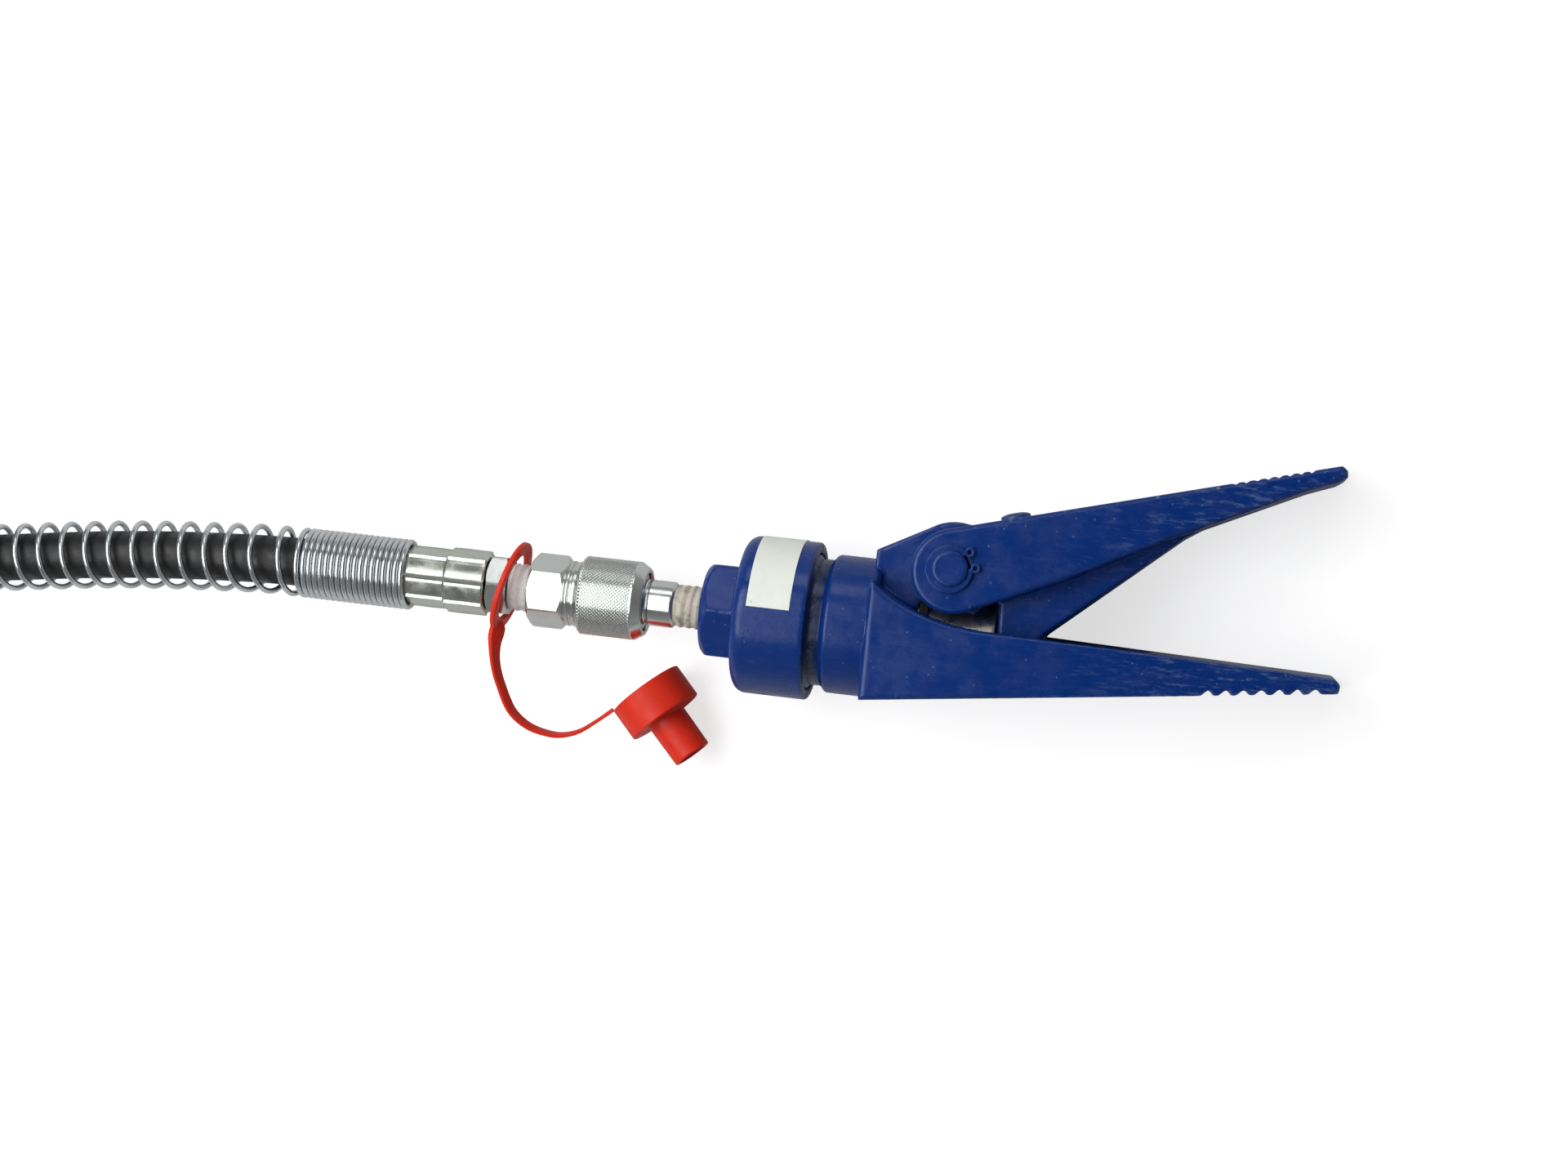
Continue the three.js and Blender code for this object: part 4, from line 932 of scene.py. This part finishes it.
def make_spring_screw(material):
    """A button-head screw with a hexagon socket, square on the moving jaw's outer face."""
    socket_r, socket_corner_r = 1.55, 2.0
    shank_r, head_r, head_edge = 2.4, 5.2, 0.75

    def socket(x, radius, angle):
        if radius > socket_corner_r or x < 0.3:
            return radius
        local = (angle + HALF_FACE) % (2 * HALF_FACE) - HALF_FACE
        return min(socket_r / math.cos(local), socket_corner_r)

    dome = [(1.95 - 0.075 * (r - 1.8) ** 2, r) for r in np.linspace(4.9, 2.1, 9)]
    outline = [
        (-SCREW_LENGTH, 0), (-SCREW_LENGTH, shank_r), (-0.18, shank_r), (-0.18, 5.0),
        (0.0, head_r), (head_edge, head_r), *dome, (1.9, 1.9), (0.6, 1.9), (0.6, 0),
    ]
    turn = Matrix.Rotation(math.atan(UPPER_SLOPE) + math.pi / 2, 4, "Z")
    matrix = TOOL @ Matrix.Translation((*SCREW_SEAT, 0)) @ turn
    finish_piece("spring_screw_painted", *turned(outline, 72, socket), "moving_jaw",
                 "blue_enamel_hardware", material, ["spring_screw"], matrix)


def make_return_spring(material):
    """The spring that pulls the jaws together, from the screw to the stud in the fixed jaw."""
    slope = math.atan(UPPER_SLOPE)
    head = np.array(SCREW_SEAT) - SCREW_LENGTH * np.array([-math.sin(slope), math.cos(slope)])
    foot = np.array(SPRING_FOOT, float)
    way = (foot - head) / np.linalg.norm(foot - head)
    start, end = head + 3 * way, foot - 4.5 * way
    length = np.linalg.norm(end - start)
    line = np.array([(*(start + way * s), 0) for s in np.linspace(0, length, 200)])
    coils = wire_helix(line, SPRING_R - 0.6, lambda s: SPRING_PITCH, 0, 28)
    piece = finish_piece("return_spring_wire", *swept(coils, circle(0.55, 8)), "frame",
                         "spring_steel", material, ["return_spring"])
    world = piece.matrix_world.copy()
    piece.parent = None
    piece.matrix_world = world
    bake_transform(piece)


# ---- the dust cap ----------------------------------------------------------------------------
DUST_RIBS, DUST_RIB_DEPTH = 110, 0.07
# The strap's middle line in millimetres on the floor, from the ring to the cap's face.
STRAP_ROUTE = [
    (-112.4, -12.9, 33.5), (-113.3, -20.7, 32.5), (-112.8, -28.5, 30.3), (-110.6, -36.2, 27.3),
    (-106.7, -44.6, 23.8), (-101.3, -49.2, 20.8), (-95.1, -51.2, 18.6), (-89.8, -51.5, 17),
    (-83.7, -49.6, 15.7), (-78, -45.4, 14.6), (-72.2, -40.4, 14),
]
# Pairs of the share of the strap's length and the twist there in degrees, or the width.
STRAP_TWISTS = ((0, 38), (0.12, 22), (0.4, 26), (0.75, 10), (1, 4))
STRAP_WIDTHS = ((0, 0.7), (0.03, 1.25), (0.07, 1.3), (0.11, 1.12), (0.18, 0.9), (0.3, 0.84),
                (1, 0.88))
STRAP_HALF_WIDTH, STRAP_HALF_THICKNESS = 2.5, 0.8


def dust_head_shape(x, radius, angle):
    """Fine ribs round the head."""
    if radius < DUST_HEAD_R - 0.6 or not 0.8 < x < DUST_HEAD_LENGTH - 0.6:
        return radius
    return radius - DUST_RIB_DEPTH * (0.5 + 0.5 * math.cos(DUST_RIBS * angle))


def make_dust_cap(material):
    """A moulded cap with a ribbed head and a stub that goes over the coupler's nipple."""
    rear = DUST_HEAD_LENGTH + DUST_STUB_LENGTH
    outline = rounded([
        (0, 0, 0), (0, 9.2, 0.3), (0.35, 9.6, 0.3), (0, 10, 0.3), (0, DUST_HEAD_R),
        (DUST_HEAD_LENGTH, DUST_HEAD_R), (DUST_HEAD_LENGTH, DUST_STUB_R + 0.5, 0.5),
        (DUST_HEAD_LENGTH + 0.7, DUST_STUB_R, 0.4), (rear, DUST_STUB_R - 0.15), (rear, 5.6, 0.3),
        (rear - 9, 5.4, 0.3), (rear - 9, 0, 0),
    ], 0.6)
    matrix = (GROUND @ Matrix.Translation((*DUST_FACE, DUST_HEAD_R))
              @ Matrix.Rotation(DUST_TURN, 4, "Z"))
    finish_piece("dust_cap_moulded", *turned(outline, 440, dust_head_shape), "dust_cap",
                 "red_plastic", material, ["dust_cap"], matrix)


def ring_shape(x, radius, angle):
    """The ring's hole is narrower across the tool than upwards, where it clears the hexagon."""
    across = RING_BORE_R * RING_SQUEEZE
    bore = RING_BORE_R * across / math.hypot(
        across * math.sin(angle), RING_BORE_R * math.cos(angle))
    share = (radius - RING_BORE_R) / (RING_R - RING_BORE_R)
    return bore + (RING_R - bore) * share


def make_strap(material):
    """The ring round the fitting and the flat strap from it, which twists on its way to the cap."""
    matrix = GROUND.inverted() @ TOOL @ Matrix.Translation((RING_X, 0, 0))
    leaning = Vector((1, -math.tan(RING_LEAN), 0)).normalized()
    matrix = matrix @ Vector((1, 0, 0)).rotation_difference(leaning).to_matrix().to_4x4()
    ring, ring_faces = turned(rounded([
        (-RING_HALF_WIDTH, RING_BORE_R), (-RING_HALF_WIDTH, RING_R), (RING_HALF_WIDTH, RING_R),
        (RING_HALF_WIDTH, RING_BORE_R),
    ], 0.5, 4), 128, ring_shape)
    ring = [tuple(matrix @ Vector(v)) for v in ring]
    path = smooth_curve(STRAP_ROUTE, 1.0)
    share = distances(path) / distances(path)[-1]
    tangents, _, _ = frames_along(path)
    upright = np.cross(np.cross(tangents, (0, 0, 1)), tangents)
    upright /= np.linalg.norm(upright, axis=1, keepdims=True)
    flat = np.cross(tangents, upright)
    twist = np.radians(np.interp(share, *zip(*STRAP_TWISTS)))[:, None]
    normals = np.cos(twist) * upright + np.sin(twist) * flat
    wide, thick = STRAP_HALF_WIDTH, STRAP_HALF_THICKNESS
    section = rounded([(-wide, -thick), (wide, -thick), (wide, thick), (-wide, thick)], 0.5, 4)
    strap = swept(path, section, (tangents, normals, np.cross(tangents, normals)),
                  np.interp(share, *zip(*STRAP_WIDTHS)))
    finish_piece("dust_cap_tether", *joined((ring, ring_faces), strap), "dust_cap", "red_plastic",
                 material, ["dust_cap_strap"], GROUND)


# ---- assembly --------------------------------------------------------------------------------
make_camera()
make_floor()
make_room()
enamel = blue_enamel("blue_enamel", 0.75)
enamel_hardware = blue_enamel("blue_enamel_hardware", 0.5)
zinc = plated("bright_zinc", (0.70, 0.735, 0.712), 0.14, 0.27)
ferrule_zinc = plated("crimped_zinc", (0.60, 0.63, 0.575), 0.16, 0.32, 0.01, 0.5,
                      (0.2, 0.21, 0.17))
spring_steel = plated("spring_wire", (0.66, 0.69, 0.71), 0.16, 0.32, 0.0, 0.2)
ground_steel = plated("ground_steel", (0.62, 0.61, 0.58), 0.22, 0.4, 0.02, 0.35)
rubber, seal, nylon = black_rubber(), dull_rubber(), black_nylon()
plastic = red_plastic()
clean_tape = thread_tape("thread_tape", (0.80, 0.79, 0.77), 0.45, (0.55, 0.50, 0.46))
dirty_tape = thread_tape("thread_tape_dirty", (0.60, 0.55, 0.46), 0.85, (0.30, 0.22, 0.15))

hose = make_hose(rubber)
open_guard = make_guards(spring_steel)
far_ferrule = make_ferrule("far_ferrule_crimped", FAR, ferrule_zinc, ["far_ferrule"])
far_fitting = make_fitting("far_fitting_hexagon", FAR, zinc, ["far_fitting"])
ties = [paint_node(name, nylon) for name in ("hose_tie_1", "hose_tie_2")]

make_ferrule("ferrule_crimped", TOOL, ferrule_zinc, ["hose_ferrule"])
make_fitting("hose_fitting_hexagon", TOOL, zinc, ["hose_fitting"])
make_tape("tape_on_hose_side", FITTING_FRONT + 0.2, HALF_REAR - 0.1, TAPE_HOSE_R, 0.7,
          "thread_tape", clean_tape, ["thread_tape_hose"])
make_tape("tape_on_tool_side", NIPPLE_FRONT + 0.9, BOSS_REAR - 0.2, TAPE_TOOL_R, 2.4,
          "thread_tape_dirty", dirty_tape, ["thread_tape_tool"])
make_nipple(zinc)
make_collar(zinc)
make_hose_half(zinc)
make_end_cap(enamel)
make_barrel(enamel)
make_label(label_vinyl())
make_plunger(ground_steel)
make_spring_screw(enamel_hardware)
make_return_spring(spring_steel)
make_dust_cap(plastic)
make_strap(plastic)
paint_node("body_lower_jaw", enamel, 0.6, 2)
paint_node("upper_jaw", enamel, 0.48, 1)
paint_node("pivot_pin", enamel_hardware, 0.35)
for name in ("circlip_near", "circlip_far"):
    paint_node(name, enamel_hardware, 0.2, 2)
for name in ("cap_o_ring", "piston_seal", "rod_wiper", "coupler_o_ring"):
    paint_node(name, seal)
paint_node("backup_ring", clean_tape)
paint_node("spring_stud", ground_steel)
paint_node("collar_ring", spring_steel)
